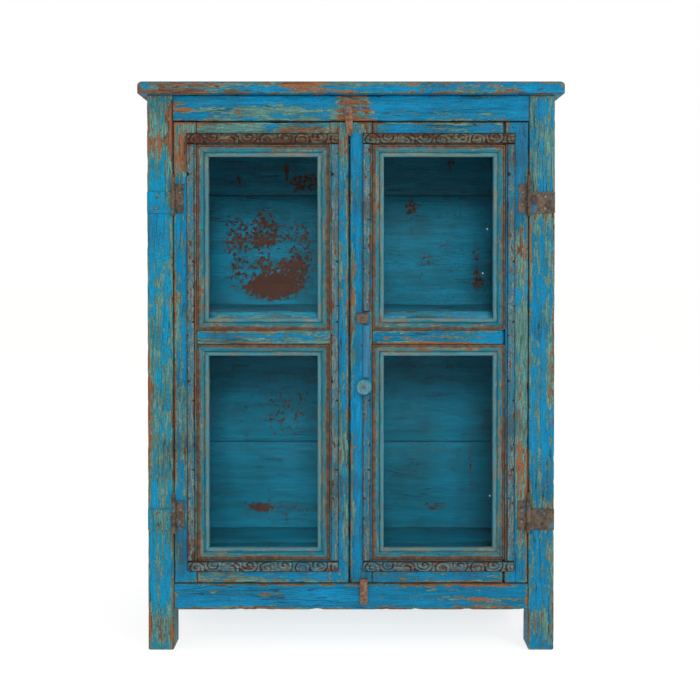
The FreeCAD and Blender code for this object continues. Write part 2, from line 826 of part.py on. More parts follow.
def hinge_nails(label, side, away, reach, knuckles):
    """The nails of both hinges of a side, in the frame leaves or in the door leaves."""
    nails = []
    x = f"{side}*hinge_axis_x + {away}*({reach})"
    for level, centre in HINGE_LEVELS:
        for number, height in enumerate(nail_places(knuckles), start=1):
            z = f"{centre} - hinge_height/2 + {height}"
            name = f"{label}_{level}_{number}"
            nails.append(make_nail(name, x, "face_y - leaf_thickness", z, "hinge_nail_length"))
    return nails


def make_hinge_pin(name, side, centre):
    """A pin with a flat head under the barrel, and a long tapered tip above it."""
    body = new_body(name, (f"{side}*hinge_axis_x", "hinge_axis_y", f"{centre} - hinge_height/2"))
    cylinder(body, "Additive", "pin_radius", "hinge_height", ("0", "0", "0"))
    cylinder(body, "Additive", "pin_head_radius", "pin_head_height", ("0", "0", "-pin_head_height"))
    tip = body.newObject("PartDesign::AdditiveCone", f"{name}_tip")
    bind(tip, "Radius1", "pin_head_radius")
    bind(tip, "Radius2", "pin_tip_radius")
    bind(tip, "Height", "pin_tip_height")
    bind(tip, "Placement.Base.z", "hinge_height")
    return body


frame_leaves, hinge_pins, frame_nails = [], [], []
for door in doors:
    side = door.side
    door_leaves = []
    for level, centre in HINGE_LEVELS:
        frame_leaves.append(make_leaf(
            f"{door.name}_{level}_frame_leaf", side, centre, side, FRAME_LEAF_REACH,
            FRAME_KNUCKLES, FRAME_NAIL_REACH,
        ))
        door_leaves.append(make_leaf(
            f"{door.name}_{level}_door_leaf", side, centre, -side, DOOR_LEAF_REACH,
            DOOR_KNUCKLES, DOOR_NAIL_REACH,
        ))
        hinge_pins.append(make_hinge_pin(f"{door.name}_{level}_hinge_pin", side, centre))
    group(door.node("hinge_leaves"), door_leaves)
    frame_nails += hinge_nails(
        f"{door.name}_frame_nail", side, side, FRAME_NAIL_REACH, FRAME_KNUCKLES
    )
    door_nails = hinge_nails(
        f"{door.name}_door_nail", side, -side, DOOR_NAIL_REACH, DOOR_KNUCKLES
    )
    if side > 0:
        boss_front = "face_y - boss_thickness"
        door_nails.append(make_nail("boss_nail", "boss_x", boss_front, "boss_height",
                                    "board_nail_length"))
    group(door.node("nails"), door_nails)
group("frame_hinge_leaves", frame_leaves)
group("hinge_pins", hinge_pins)


def back_nails():
    """Two nails through each end of each back board, into the back posts."""
    nails = []
    joints = ["back_boards_bottom", "back_joint_low", "back_joint_middle", "back_joint_high",
              "frame_top"]
    surface = "back_y + back_board_thickness"
    for number, (low, high) in enumerate(zip(joints, joints[1:]), start=1):
        for end, height in (("a", f"{low} + board_nail_edge"), ("b", f"{high} - board_nail_edge")):
            for side_name, side in SIDES:
                x = f"{side}*(half_width - post_width/2)"
                name = f"{side_name}_back_nail_{number}{end}"
                nails.append(make_nail(name, x, surface, height, "board_nail_length",
                                       BODY_FACING_BACK))
    return nails


group("carcass_nails", frame_nails + back_nails())


# ---------------------------------------------------------------- turn buttons
def button_outline(body, reach, head_radius, tip_radius, up):
    """The button from the front: two round ends joined by straight sides that nearly touch both."""
    end = f"{up}*({reach} - {tip_radius})"
    corners = [
        (f"-{head_radius}", "0"), (head_radius, "0"), (tip_radius, end), (f"-{tip_radius}", end),
    ]
    pad(body, outline(body, "XY_Plane", corners), "button_thickness")
    cylinder(body, "Additive", head_radius, "button_thickness", ("0", "0", "0"))
    cylinder(body, "Additive", tip_radius, "button_thickness", ("0", end, "0"))
    hole = "button_pin_radius + button_pin_fit"
    cylinder(body, "Subtractive", hole, "button_thickness", ("0", "0", "0"))


def make_button(level, up):
    """A turn button on its pin. up is +1 if it stands up from its pin, and -1 if it hangs."""
    name = f"{level}_turn_button"
    x, z, standoff = f"{level}_button_x", f"{level}_button_pivot", f"{level}_button_standoff"
    body = facing_front(name, x, f"face_y - {standoff}", z)
    button_outline(body, f"{level}_button_reach", f"{level}_button_head_radius",
                   f"{level}_button_tip_radius", up)
    return body


def make_button_pin(level):
    """The pin: driven into the rail, with a collar that holds the button off it, and a head."""
    name = f"{level}_turn_button_pin"
    body = facing_front(name, f"{level}_button_x", "face_y", f"{level}_button_pivot")
    collar = f"{level}_button_standoff - button_end_gap"
    head_at = f"{level}_button_standoff + button_thickness + button_end_gap"
    cylinder(body, "Additive", "button_pin_radius", f"button_pin_length + {head_at}",
             ("0", "0", "-button_pin_length"))
    cylinder(body, "Additive", "button_pin_head_radius", collar, ("0", "0", "0"))
    cylinder(body, "Additive", "button_pin_head_radius", "button_pin_head_height",
             ("0", "0", head_at))
    return body


top_button = make_button("top", -1)
top_turn = FreeCAD.Rotation(FreeCAD.Vector(0, -1, 0), SIZES["top_button_tilt"])
top_place = top_button.Placement
top_place.Rotation = top_turn.multiply(BODY_FACING_FRONT)
top_button.Placement = top_place
finish(top_button)

bottom_button = make_button("bottom", 1)
bottom_button.addProperty("App::PropertyStringList", "Corner", "Base", "the formulas of its origin")
bottom_button.Corner = ["0", "0", "0"]
block(bottom_button, "Additive", [
    ("-bottom_button_tip_radius", "bottom_button_tip_radius"),
    ("bottom_button_reach - button_thickness", "bottom_button_reach"),
    ("0", "button_thickness + bottom_button_lip"),
])
finish(bottom_button)
group("turn_button_pins", [make_button_pin("top"), make_button_pin("bottom")])


# ---------------------------------------------------------------- knob and boss
def make_knob():
    """A turned knob: a neck on the door, a waist, and a wide rim with a flat worn face."""
    body = facing_front("right_door_knob", "knob_x", "face_y", "knob_height")
    bore = "knob_screw_radius + screw_fit"
    profile = [
        (bore, "0"),
        ("knob_neck_radius", "0"),
        ("knob_waist_radius", "knob_waist_at"),
        ("knob_radius", "knob_rim_from"),
        ("knob_radius", "knob_rim_to"),
        ("knob_face_radius", "knob_projection - knob_screw_head_height"),
        (bore, "knob_projection - knob_screw_head_height"),
    ]
    turned = body.newObject("PartDesign::Revolution", "knob_turning")
    turned.Profile = outline(body, "XZ_Plane", profile)
    turned.ReferenceAxis = (turned.Profile[0], ["V_Axis"])
    turned.Angle = 360

    def is_rim(edge):
        radius = getattr(edge.Curve, "Radius", 0.0)
        return abs(radius - SIZES["knob_radius"]) < 1e-3 and edge.Closed

    dress(body, "Fillet", "knob_rounding", is_rim)
    finish(body)


def make_knob_screw():
    """The screw through the knob, with its head on the knob's face."""
    body = facing_front("right_door_knob_screw", "knob_x",
                        "face_y - knob_projection + knob_screw_head_height", "knob_height")
    cylinder(body, "Additive", "knob_screw_head_radius", "knob_screw_head_height", ("0", "0", "0"))
    cylinder(body, "Additive", "knob_screw_radius", "knob_screw_length",
             ("0", "0", "-knob_screw_length"))
    finish(body)


def make_boss():
    """A low round boss nailed to the meeting stile."""
    body = facing_front("right_door_boss", "boss_x", "face_y", "boss_height")
    cylinder(body, "Additive", "boss_radius", "boss_thickness", ("0", "0", "0"))

    def is_front_rim(edge):
        return edge.Closed and edge.BoundBox.ZMin > SIZES["boss_thickness"] - 1e-3

    dress(body, "Fillet", "boss_rounding", is_front_rim)
    cylinder(body, "Subtractive", "nail_radius + nail_hole_fit", "boss_thickness", ("0", "0", "0"))
    finish(body)


make_knob()
make_knob_screw()
make_boss()


# ---------------------------------------------------------------- checks and files
doc.recompute()
faults = [item.Name for item in doc.Objects if {"Invalid", "Error"} & set(item.State)]
for name, item in parts.items():
    if item.Shape.isNull() or not item.Shape.isValid() or not item.Shape.Solids:
        faults.append(name)
if faults:
    raise RuntimeError("these did not build: " + ", ".join(faults))

os.makedirs("parts", exist_ok=True)
for name, item in parts.items():
    item.Shape.exportStep(f"parts/{name}.step")
    print(f"{name}: {len(item.Shape.Solids)} solid(s), {item.Shape.Volume / 1000:.1f} cm3")
whole = Part.makeCompound([item.Shape for item in parts.values()]).BoundBox
print(f"{len(parts)} parts, x {whole.XMin:.1f}..{whole.XMax:.1f}, y {whole.YMin:.1f}..{whole.YMax:.1f}, "
      f"z {whole.ZMin:.1f}..{whole.ZMax:.1f}")
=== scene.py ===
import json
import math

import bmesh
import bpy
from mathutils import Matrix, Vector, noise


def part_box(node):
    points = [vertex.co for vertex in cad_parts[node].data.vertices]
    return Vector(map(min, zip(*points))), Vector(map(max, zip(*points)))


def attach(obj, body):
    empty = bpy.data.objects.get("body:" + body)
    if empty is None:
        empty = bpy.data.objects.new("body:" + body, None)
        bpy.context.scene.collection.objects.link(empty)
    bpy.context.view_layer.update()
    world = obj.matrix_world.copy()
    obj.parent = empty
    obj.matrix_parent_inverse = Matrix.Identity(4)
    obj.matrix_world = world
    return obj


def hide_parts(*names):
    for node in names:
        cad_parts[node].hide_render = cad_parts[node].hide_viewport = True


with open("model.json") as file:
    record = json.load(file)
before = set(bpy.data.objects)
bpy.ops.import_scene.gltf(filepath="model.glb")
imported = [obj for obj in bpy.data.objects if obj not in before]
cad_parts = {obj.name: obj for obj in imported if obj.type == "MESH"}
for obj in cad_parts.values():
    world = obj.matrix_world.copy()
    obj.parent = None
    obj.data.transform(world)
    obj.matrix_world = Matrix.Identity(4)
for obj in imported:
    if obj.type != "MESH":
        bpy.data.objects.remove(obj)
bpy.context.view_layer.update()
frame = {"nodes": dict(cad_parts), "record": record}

# %% [markdown]
# # An old blue china cabinet with two glass doors
# The real cabinet is joiner's work: four posts that are also the legs, rails between them, boards for
# the walls, and two framed doors with panes held by mitred beads. Several coats of blue paint have
# worn through to a green undercoat and to brown wood.
# The frame that was just loaded holds every part at its true size. This lesson rebuilds each part's
# surface round it: a mesh with cut and rubbed edges, and a paint that knows the grain and the edges.

MM = 0.001
BODY_OF = {node: body for body, nodes in frame["record"]["behaviour"]["bodies"].items() for node in nodes}

# %% [markdown]
# ## The camera
# A cabinet is shown straight on, from about the eye height of someone sitting in front of it. A level
# camera keeps the posts upright, so most of the framing is done with a small vertical shift, as with a
# view camera, and a slight tilt takes the rest.

# %% Camera
EYE_DISTANCE = 1.75
EYE_HEIGHT = 0.746
EYE_SIDE = -0.002
HALF_VIEW = 0.386
HORIZON_ABOVE_MIDDLE = 0.12
TILT_DOWN = math.radians(0.8)

door_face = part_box("left_door_hinge_stile")[0].y
camera_data = bpy.data.cameras.new("camera")
camera_data.sensor_width = 36
camera_data.lens = camera_data.sensor_width / 2 / HALF_VIEW
camera_data.shift_y = math.tan(TILT_DOWN) / (2 * HALF_VIEW) - HORIZON_ABOVE_MIDDLE
camera = bpy.data.objects.new("camera", camera_data)
camera.location = (EYE_SIDE, door_face - EYE_DISTANCE, EYE_HEIGHT)
camera.rotation_euler = (math.pi / 2 - TILT_DOWN, 0, 0)
bpy.context.scene.collection.objects.link(camera)
bpy.context.scene.camera = camera
print("lens", round(camera_data.lens, 1), "shift", round(camera_data.shift_y, 3))

# %% [markdown]
# ## Light and floor
# The cabinet stands in a white room. A white world gives the even fill. A lamp a little above
# the camera shines in through the panes and lights the back boards, and one high on the right gives the
# beads and the grain their light and dark sides. The room looks brighter to the eye than it shines, so
# that the lamps have some work left to do.

# %% World and lamps
ROOM_LIGHT = 0.6
ROOM_SEEN = 1.0
bpy.context.scene.view_settings.view_transform = "Standard"
world = bpy.data.worlds.new("white_room")
bpy.context.scene.world = world
world.use_nodes = True
room = world.node_tree.nodes["Background"]
room.inputs["Color"].default_value = (1, 1, 1, 1)
seen = world.node_tree.nodes.new("ShaderNodeLightPath").outputs["Is Camera Ray"]
strength = world.node_tree.nodes.new("ShaderNodeMapRange")
strength.inputs["To Min"].default_value = ROOM_LIGHT
strength.inputs["To Max"].default_value = ROOM_SEEN
world.node_tree.links.new(seen, strength.inputs["Value"])
world.node_tree.links.new(strength.outputs["Result"], room.inputs["Strength"])


def soft_lamp(name, place, aim, size, power, mirrored):
    """A square lamp that shines from one point towards another, and may be kept out of the reflections."""
    lamp = bpy.data.lights.new(name, "AREA")
    lamp.size = size
    lamp.energy = power
    holder = bpy.data.objects.new(name, lamp)
    holder.location = place
    holder.rotation_euler = (Vector(aim) - Vector(place)).to_track_quat("-Z", "Y").to_euler()
    holder.visible_glossy = mirrored
    bpy.context.scene.collection.objects.link(holder)
    return holder


soft_lamp("front_lamp", (0.1, -3.3, 1.75), (0, 0, 0.55), 0.75, 46, False)
soft_lamp("key_lamp", (2.0, -2.2, 2.4), (0, 0, 0.6), 0.9, 22, True)

# %% [markdown]
# ## Tools for building materials
# A material here is a chain of small steps. These helpers keep each step on one line: one makes a node
# and fills its sockets, and the others are the few sums and mixes that are used over and over.

# %% Node helpers
def feed(tree, socket, value):
    """Links an output to a socket, or sets the socket to a plain value."""
    if isinstance(value, bpy.types.NodeSocket):
        tree.links.new(value, socket)
    else:
        socket.default_value = value


def part(tree, kind, sockets=None, **settings):
    """Makes one shader node with its settings and its sockets filled."""
    made = tree.nodes.new("ShaderNode" + kind)
    for name, value in settings.items():
        setattr(made, name, value)
    for key, value in (sockets or {}).items():
        feed(tree, made.inputs[key], value)
    return made


def calc(tree, operation, first, second=0.0, third=0.0):
    """A sum of up to three values."""
    sockets = {0: first, 1: second, 2: third}
    return part(tree, "Math", sockets, operation=operation).outputs[0]


def times(tree, first, second):
    """The product of two values."""
    return calc(tree, "MULTIPLY", first, second)


def step(tree, value, low, high):
    """0 below the low value, 1 above the high one, and a smooth step between."""
    sockets = {"Value": value, "From Min": low, "From Max": high}
    return part(tree, "MapRange", sockets, interpolation_type="SMOOTHSTEP").outputs[0]


def tint(tree, mask, first, second, way="MIX"):
    """The first colour where the mask is 0 and the second where it is 1."""
    sockets = {0: mask, 6: first, 7: second}
    return part(tree, "Mix", sockets, data_type="RGBA", blend_type=way).outputs[2]


def stretch(tree, vector, scale):
    """A vector scaled along each axis."""
    return part(tree, "VectorMath", {0: vector, 1: scale}, operation="MULTIPLY").outputs[0]


def cloud(tree, vector, scale, detail=3.0, rough=0.55):
    """Soft random values between about 0.2 and 0.8."""
    sockets = {"Vector": vector, "Scale": scale, "Detail": detail, "Roughness": rough}
    return part(tree, "TexNoise", sockets).outputs["Fac"]


def swing(tree, value, amount):
    """A random value turned into a push up or down of that amount."""
    return times(tree, calc(tree, "SUBTRACT", value, 0.5), amount)


def inverse(tree, value):
    """1 less the value."""
    return calc(tree, "SUBTRACT", 1.0, value)


def darken(tree, face, amount):
    """A colour multiplied by one value on all its channels."""
    grey = part(tree, "CombineColor", {0: amount, 1: amount, 2: amount}).outputs[0]
    return tint(tree, 1.0, face, grey, "MULTIPLY")


def total(tree, *values):
    """The values added up."""
    result = values[0]
    for value in values[1:]:
        result = calc(tree, "ADD", result, value)
    return result


def colour(red, green, blue):
    """A paint chart's 0 to 255 colour as the linear colour that a material uses."""
    chart = [channel / 255 for channel in (red, green, blue)]
    linear = [c / 12.92 if c <= 0.04045 else ((c + 0.055) / 1.055) ** 2.4 for c in chart]
    return (*linear, 1.0)


def new_group(name, inputs, outputs):
    """An empty node group with named sockets. Returns its tree, its inputs by name and its output node."""
    tree = bpy.data.node_groups.new(name, "ShaderNodeTree")
    for title, kind, value in inputs:
        socket = tree.interface.new_socket(title, in_out="INPUT", socket_type="NodeSocket" + kind)
        if value is not None:
            socket.default_value = value
    for title, kind in outputs:
        tree.interface.new_socket(title, in_out="OUTPUT", socket_type="NodeSocket" + kind)
    entry = tree.nodes.new("NodeGroupInput")
    leave = tree.nodes.new("NodeGroupOutput")
    return tree, entry.outputs, leave.inputs


def use_group(tree, group, sockets=None):
    """Places a group in a material and fills its sockets. Returns the outputs."""
    placed = part(tree, "Group", node_tree=group)
    for key, value in (sockets or {}).items():
        feed(tree, placed.inputs[key], value)
    return placed.outputs


# %% [markdown]
# ## Where a point lies on its board
# Paint wears at the edges and splits along the grain, so the finish has to know both. Every board
# carries three marks on its points: how far the point is from the board's middle, the board's half
# size, and the point's place along and across the grain. From the first two the distance to the nearest
# edge is exact: of the three gaps to the faces, the smallest is the face the point lies on, and the
# middle one is the way to the nearest edge. This costs nothing to render.

# %% Group: board marks
def build_board_marks():
    """Grain direction and distance to the nearest edge, read from the marks on a board's points."""
    outputs = [("Grain", "Vector"), ("Edge", "Float")]
    tree, _, leave = new_group("Board marks", [], outputs)
    grain = part(tree, "Attribute", attribute_name="grain").outputs["Vector"]
    local = part(tree, "Attribute", attribute_name="local").outputs["Vector"]
    half = part(tree, "Attribute", attribute_name="half").outputs["Vector"]
    reach = part(tree, "VectorMath", {0: local}, operation="ABSOLUTE").outputs[0]
    gap = part(tree, "VectorMath", {0: half, 1: reach}, operation="SUBTRACT").outputs[0]
    gap = part(tree, "VectorMath", {0: gap}, operation="ABSOLUTE").outputs[0]
    side = part(tree, "SeparateXYZ", {0: gap}).outputs
    least = calc(tree, "MINIMUM", side[0], side[1])
    most = calc(tree, "MAXIMUM", side[0], side[1])
    middle = calc(tree, "MAXIMUM", least, calc(tree, "MINIMUM", most, side[2]))
    feed(tree, leave["Grain"], grain)
    feed(tree, leave["Edge"], middle)
    return tree


BOARD_MARKS = build_board_marks()

# %% [markdown]
# ## Wood grain
# Old softwood shows three things at once: broad streaks as wide as a finger, fine fibres, and dark
# splits that follow the grain for a hand's length and then stop. All three are the same soft noise,
# squeezed across the grain and stretched along it by different amounts.

# %% Group: wood grain
def build_wood_grain():
    """Streaks, fibres and splits along the grain."""
    inputs = [("Grain", "Vector", None), ("Streak", "Float", 1.0), ("Fibre", "Float", 1.0),
              ("Splits", "Float", 0.5)]
    outputs = [("Streak", "Float"), ("Fibre", "Float"), ("Splits", "Float")]
    tree, entry, leave = new_group("Wood grain", inputs, outputs)
    bend = cloud(tree, entry["Grain"], 9, detail=2)
    bent = part(tree, "CombineXYZ", {1: swing(tree, bend, 0.012), 2: swing(tree, bend, 0.012)}).outputs[0]
    path = part(tree, "VectorMath", {0: entry["Grain"], 1: bent}, operation="ADD").outputs[0]
    streak = cloud(tree, stretch(tree, path, (4.0, 85, 85)), entry["Streak"], detail=3)
    fibre = cloud(tree, stretch(tree, path, (22, 520, 520)), entry["Fibre"], detail=3, rough=0.65)
    line = cloud(tree, stretch(tree, path, (2.4, 62, 62)), 1.0, detail=2)
    line = calc(tree, "ABSOLUTE", calc(tree, "SUBTRACT", line, 0.5))
    thin = inverse(tree, step(tree, line, 0.0, 0.016))
    here = step(tree, cloud(tree, stretch(tree, path, (7, 24, 24)), 1.0, detail=2), 0.5, 0.6)
    split = times(tree, times(tree, thin, here), entry["Splits"])
    feed(tree, leave["Streak"], streak)
    feed(tree, leave["Fibre"], fibre)
    feed(tree, leave["Splits"], split)
    return tree


WOOD_GRAIN = build_wood_grain()

# %% [markdown]
# ## Where one spot has worn
# A hand that turns a button or pulls a knob rubs one place for years. This group gives a value that is
# high at a chosen centre and falls to nothing at the rim of an oval box round it. The paint adds it to
# its wear, so the patch breaks up along its rim like all the other wear does.

# %% Group: worn spot
def build_worn_spot():
    """A push that is full at a centre and fades out at a given reach along each axis."""
    inputs = [("Place", "Vector", None), ("Centre", "Vector", None), ("Reach", "Vector", None),
              ("Push", "Float", 1.0)]
    tree, entry, leave = new_group("Worn spot", inputs, [("Push", "Float")])
    away = part(tree, "VectorMath", {0: entry["Place"], 1: entry["Centre"]}, operation="SUBTRACT").outputs[0]
    away = part(tree, "VectorMath", {0: away, 1: entry["Reach"]}, operation="DIVIDE").outputs[0]
    far = part(tree, "VectorMath", {0: away}, operation="LENGTH").outputs["Value"]
    near = inverse(tree, step(tree, far, 0.35, 1.25))
    feed(tree, leave["Push"], times(tree, near, entry["Push"]))
    return tree


WORN_SPOT = build_worn_spot()

# %% [markdown]
# ## Worn paint
# The finish is built like the real one, in coats. A single wear value rises and falls over the board:
# it is pushed up near the edges, along the streaks, in ragged flakes and at the worn spots. Where it is
# low the top coat is whole. Where it passes a first height the green undercoat shows, and past a second
# height the bare wood. The steps are narrow, so each coat ends in a flaky rim, and the same steps give
# the height for the bump, so a chip is also a hollow.

# %% Group: worn paint
def build_worn_paint():
    """Top coat, undercoat and wood from one wear value."""
    inputs = [
        ("Place", "Vector", None), ("Grain", "Vector", None), ("Edge", "Float", 1.0),
        ("Streak", "Float", 0.5), ("Fibre", "Float", 0.5), ("Splits", "Float", 0.0),
        ("Wear", "Float", 0.0), ("Edge wear", "Float", 0.4), ("Edge reach", "Float", 0.006),
        ("Undercoat", "Float", 0.2), ("Spots", "Float", 0.0), ("Undercoat spots", "Float", 0.0),
        ("Top coat", "Color", None), ("Top coat 2", "Color", None),
        ("Under coat", "Color", None), ("Under coat 2", "Color", None),
        ("Wood", "Color", None), ("Wood 2", "Color", None), ("Streaky", "Float", 1.0),
        ("Flaky", "Float", 1.0),
        ("Faded", "Float", 0.4), ("Flake size", "Float", 42.0),
    ]
    outputs = [("Colour", "Color"), ("Roughness", "Float"), ("Height", "Float")]
    tree, entry, leave = new_group("Worn paint", inputs, outputs)
    flake = cloud(tree, entry["Place"], entry["Flake size"], detail=6, rough=0.68)
    nibble = cloud(tree, stretch(tree, entry["Grain"], (75, 430, 430)), 1.0, detail=3, rough=0.6)
    long_flake = cloud(tree, stretch(tree, entry["Grain"], (30, 170, 170)), 1.0, detail=4, rough=0.62)
    blotch = cloud(tree, entry["Place"], 5.5, detail=2)
    rub = inverse(tree, step(tree, entry["Edge"], 0.0, entry["Edge reach"]))
    rub = times(tree, times(tree, rub, entry["Edge wear"]), calc(tree, "ADD", blotch, 0.35))
    along = total(tree, swing(tree, entry["Streak"], 1.4), swing(tree, long_flake, 1.5),
                  swing(tree, entry["Fibre"], 0.6), swing(tree, nibble, 1.0))
    wear = total(
        tree, entry["Wear"], rub, entry["Spots"], swing(tree, blotch, 0.9),
        times(tree, along, entry["Streaky"]),
        times(tree, swing(tree, flake, 1.0), entry["Flaky"]),
    )
    lift = cloud(tree, stretch(tree, entry["Grain"], (9, 70, 70)), 1.0, detail=5, rough=0.6)
    thin = total(tree, wear, entry["Undercoat"], entry["Undercoat spots"], swing(tree, lift, 1.1))
    under = step(tree, thin, 0.42, 0.50)
    bare = step(tree, wear, 0.52, 0.60)
    shade = total(tree, times(tree, blotch, 0.9), times(tree, entry["Streak"], 0.9), -0.4)
    top = tint(tree, step(tree, shade, 0.2, 0.8), entry["Top coat"], entry["Top coat 2"])
    faded = step(tree, total(tree, lift, swing(tree, entry["Fibre"], 0.9)), 0.46, 0.78)
    top = tint(tree, times(tree, faded, entry["Faded"]), top, entry["Under coat 2"])
    fine = calc(tree, "MULTIPLY_ADD", entry["Fibre"], 1.6, 0.2)
    top = darken(tree, top, fine)
    green = tint(tree, step(tree, entry["Fibre"], 0.38, 0.62), entry["Under coat"], entry["Under coat 2"])
    fleck = times(tree, step(tree, entry["Fibre"], 0.60, 0.72), step(tree, long_flake, 0.5, 0.62))
    green = tint(tree, times(tree, fleck, 0.6), green, colour(176, 196, 188))
    timber = tint(tree, step(tree, total(tree, swing(tree, entry["Fibre"], 1.2), entry["Streak"]), 0.3, 0.72),
                  entry["Wood 2"], entry["Wood"])
    face = tint(tree, under, top, green)
    face = tint(tree, bare, face, timber)
    lines = times(tree, step(tree, nibble, 0.60, 0.70), 0.55)
    face = tint(tree, lines, face, colour(40, 62, 64))
    rim = times(tree, times(tree, under, inverse(tree, under)), 1.4)
    face = tint(tree, rim, face, colour(30, 60, 62))
    face = tint(tree, entry["Splits"], face, colour(22, 20, 20))
    grit = total(tree, 1.0, swing(tree, cloud(tree, entry["Place"], 380, detail=4, rough=0.75), 1.5))
    face = darken(tree, face, grit)
    coats = times(tree, total(tree, under, bare), -0.5)
    texture = swing(tree, entry["Fibre"], calc(tree, "MULTIPLY_ADD", bare, 0.7, 0.35))
    height = total(tree, coats, texture, times(tree, entry["Splits"], -1.2), swing(tree, flake, 0.12))
    rough = total(tree, 0.5, times(tree, under, 0.14), times(tree, bare, 0.14),
                  swing(tree, entry["Fibre"], 0.2))
    feed(tree, leave["Colour"], face)
    feed(tree, leave["Roughness"], rough)
    feed(tree, leave["Height"], height)
    return tree


WORN_PAINT = build_worn_paint()

# %% [markdown]
# ## Grime
# Dirt darkens a painted board in soft clouds and in small spots where flies and damp have been. It is a
# mask only, so each finish decides how dark its dirt is.

# %% Group: grime
def build_grime():
    """Soft clouds of dirt with small dark specks."""
    inputs = [("Place", "Vector", None), ("Clouds", "Float", 0.3), ("Specks", "Float", 0.3)]
    tree, entry, leave = new_group("Grime", inputs, [("Dirt", "Float")])
    soft = step(tree, cloud(tree, entry["Place"], 13, detail=4), 0.45, 0.75)
    speck = cloud(tree, entry["Place"], 210, detail=2)
    where = step(tree, cloud(tree, entry["Place"], 17, detail=2), 0.48, 0.62)
    speck = times(tree, step(tree, speck, 0.63, 0.68), where)
    dirt = total(tree, times(tree, soft, entry["Clouds"]), times(tree, speck, entry["Specks"]))
    feed(tree, leave["Dirt"], calc(tree, "MINIMUM", dirt, 1.0))
    return tree


GRIME = build_grime()

# %% [markdown]
# ## Paints and woods
# One function mixes every painted finish: it asks for the colours of the coats, how far the wear has
# gone and where the worn spots are. The spots are placed by fractions of a part's own box, so they stay
# on the part if its size changes.

# %% A painted finish
BRIGHT_BLUE = colour(0, 122, 166)
DEEP_BLUE = colour(0, 98, 132)
TURQUOISE = colour(4, 124, 144)
SEA_GREEN = colour(94, 134, 124)
GREY_GREEN = colour(54, 94, 94)
ORANGE_WOOD = colour(130, 88, 60)
BROWN_WOOD = colour(76, 55, 45)
GRIME_COLOUR = colour(40, 44, 42)
# The colour of the painted shade along the edges and joints of every board.
EDGE_SHADE_COLOUR = colour(16, 22, 24)
SPOT_DEPTH = 0.05


def spot(node, across, up, reach_across, reach_up, push):
    """A worn spot on a node's front: its centre by fractions of the node's box, its reach in millimetres."""
    low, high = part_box(node)
    centre = Vector((low.x + across * (high.x - low.x), low.y, low.z + up * (high.z - low.z)))
    return centre, Vector((reach_across * MM, SPOT_DEPTH, reach_up * MM)), push


def add_spots(tree, place, rows):
    """The pushes of a list of worn spots, added up. Each row holds the values that a spot takes."""
    pushes = [0.0]
    for row in rows:
        centre, reach, push = spot(*row)
        sockets = {"Place": place, "Centre": centre, "Reach": reach, "Push": push}
        pushes.append(use_group(tree, WORN_SPOT, sockets)["Push"])
    return total(tree, *pushes)


def start_material(name):
    """A new material with its tree and its shader."""
    material = bpy.data.materials.new(name)
    material.use_nodes = True
    return material, material.node_tree, material.node_tree.nodes["Principled BSDF"]


def finish_surface(tree, shader, face, rough, height, depth):
    """Colour, roughness and bump into the shader."""
    bump = part(tree, "Bump", {"Height": height, "Distance": depth, "Strength": 0.8})
    feed(tree, shader.inputs["Base Color"], face)
    feed(tree, shader.inputs["Roughness"], rough)
    feed(tree, shader.inputs["Normal"], bump.outputs[0])


def painted(name, coats, wear=0.0, edge=0.45, reach=7, undercoat=0.2, splits=0.7, dirt=0.25, specks=0.5,
            spots=(), green_spots=(), depth=0.7, streak=1.0, streaky=1.0, flaky=1.0, faded=0.4,
            flake_size=42.0, edge_shade=0.3):
    """A finish of three coats: two tones each of top coat, undercoat and wood, with grime and painted shade
    along the edges.
    """
    material, tree, shader = start_material(name)
    place = part(tree, "TexCoord").outputs["Object"]
    marks = use_group(tree, BOARD_MARKS)
    grain = use_group(tree, WOOD_GRAIN, {"Grain": marks["Grain"], "Splits": splits, "Streak": streak})
    sockets = {
        "Place": place, "Grain": marks["Grain"], "Edge": marks["Edge"], "Streak": grain["Streak"],
        "Fibre": grain["Fibre"], "Splits": grain["Splits"], "Wear": wear, "Edge wear": edge,
        "Edge reach": reach * MM, "Undercoat": undercoat,
        "Spots": add_spots(tree, place, spots), "Undercoat spots": add_spots(tree, place, green_spots),
        "Top coat": coats[0], "Top coat 2": coats[1], "Under coat": coats[2], "Under coat 2": coats[3],
        "Wood": coats[4], "Wood 2": coats[5], "Streaky": streaky, "Flaky": flaky, "Faded": faded,
        "Flake size": flake_size,
    }
    paint = use_group(tree, WORN_PAINT, sockets)
    grime = use_group(tree, GRIME, {"Place": place, "Clouds": dirt, "Specks": specks})["Dirt"]
    face = tint(tree, grime, paint["Colour"], GRIME_COLOUR)
    # Painted shade: each board darkens within a few millimetres of its edges, so joints and grooves look
    # shaded.
    painted_edge_shade = inverse(tree, step(tree, marks["Edge"], 0.4 * MM, 2.4 * MM))
    face = tint(tree, times(tree, painted_edge_shade, edge_shade), face, EDGE_SHADE_COLOUR)
    finish_surface(tree, shader, face, paint["Roughness"], paint["Height"], depth * MM)
    shader.inputs["Specular IOR Level"].default_value = 0.14
    return material


BLUE_COATS = (BRIGHT_BLUE, DEEP_BLUE, SEA_GREEN, GREY_GREEN, ORANGE_WOOD, BROWN_WOOD)
side_blue = painted("side_blue", BLUE_COATS, wear=0.06, undercoat=0.22)
print("first paint has", len(side_blue.node_tree.nodes), "nodes")

# %% [markdown]
# The front is one old blue paint over a green undercoat, and each board has lost it in places of its own.
# One finish that takes a list of worn spots for each board makes that. A painted mask for each board would
# do the same, but a mask is an image, and a spot placed by fractions of a board moves with the board.

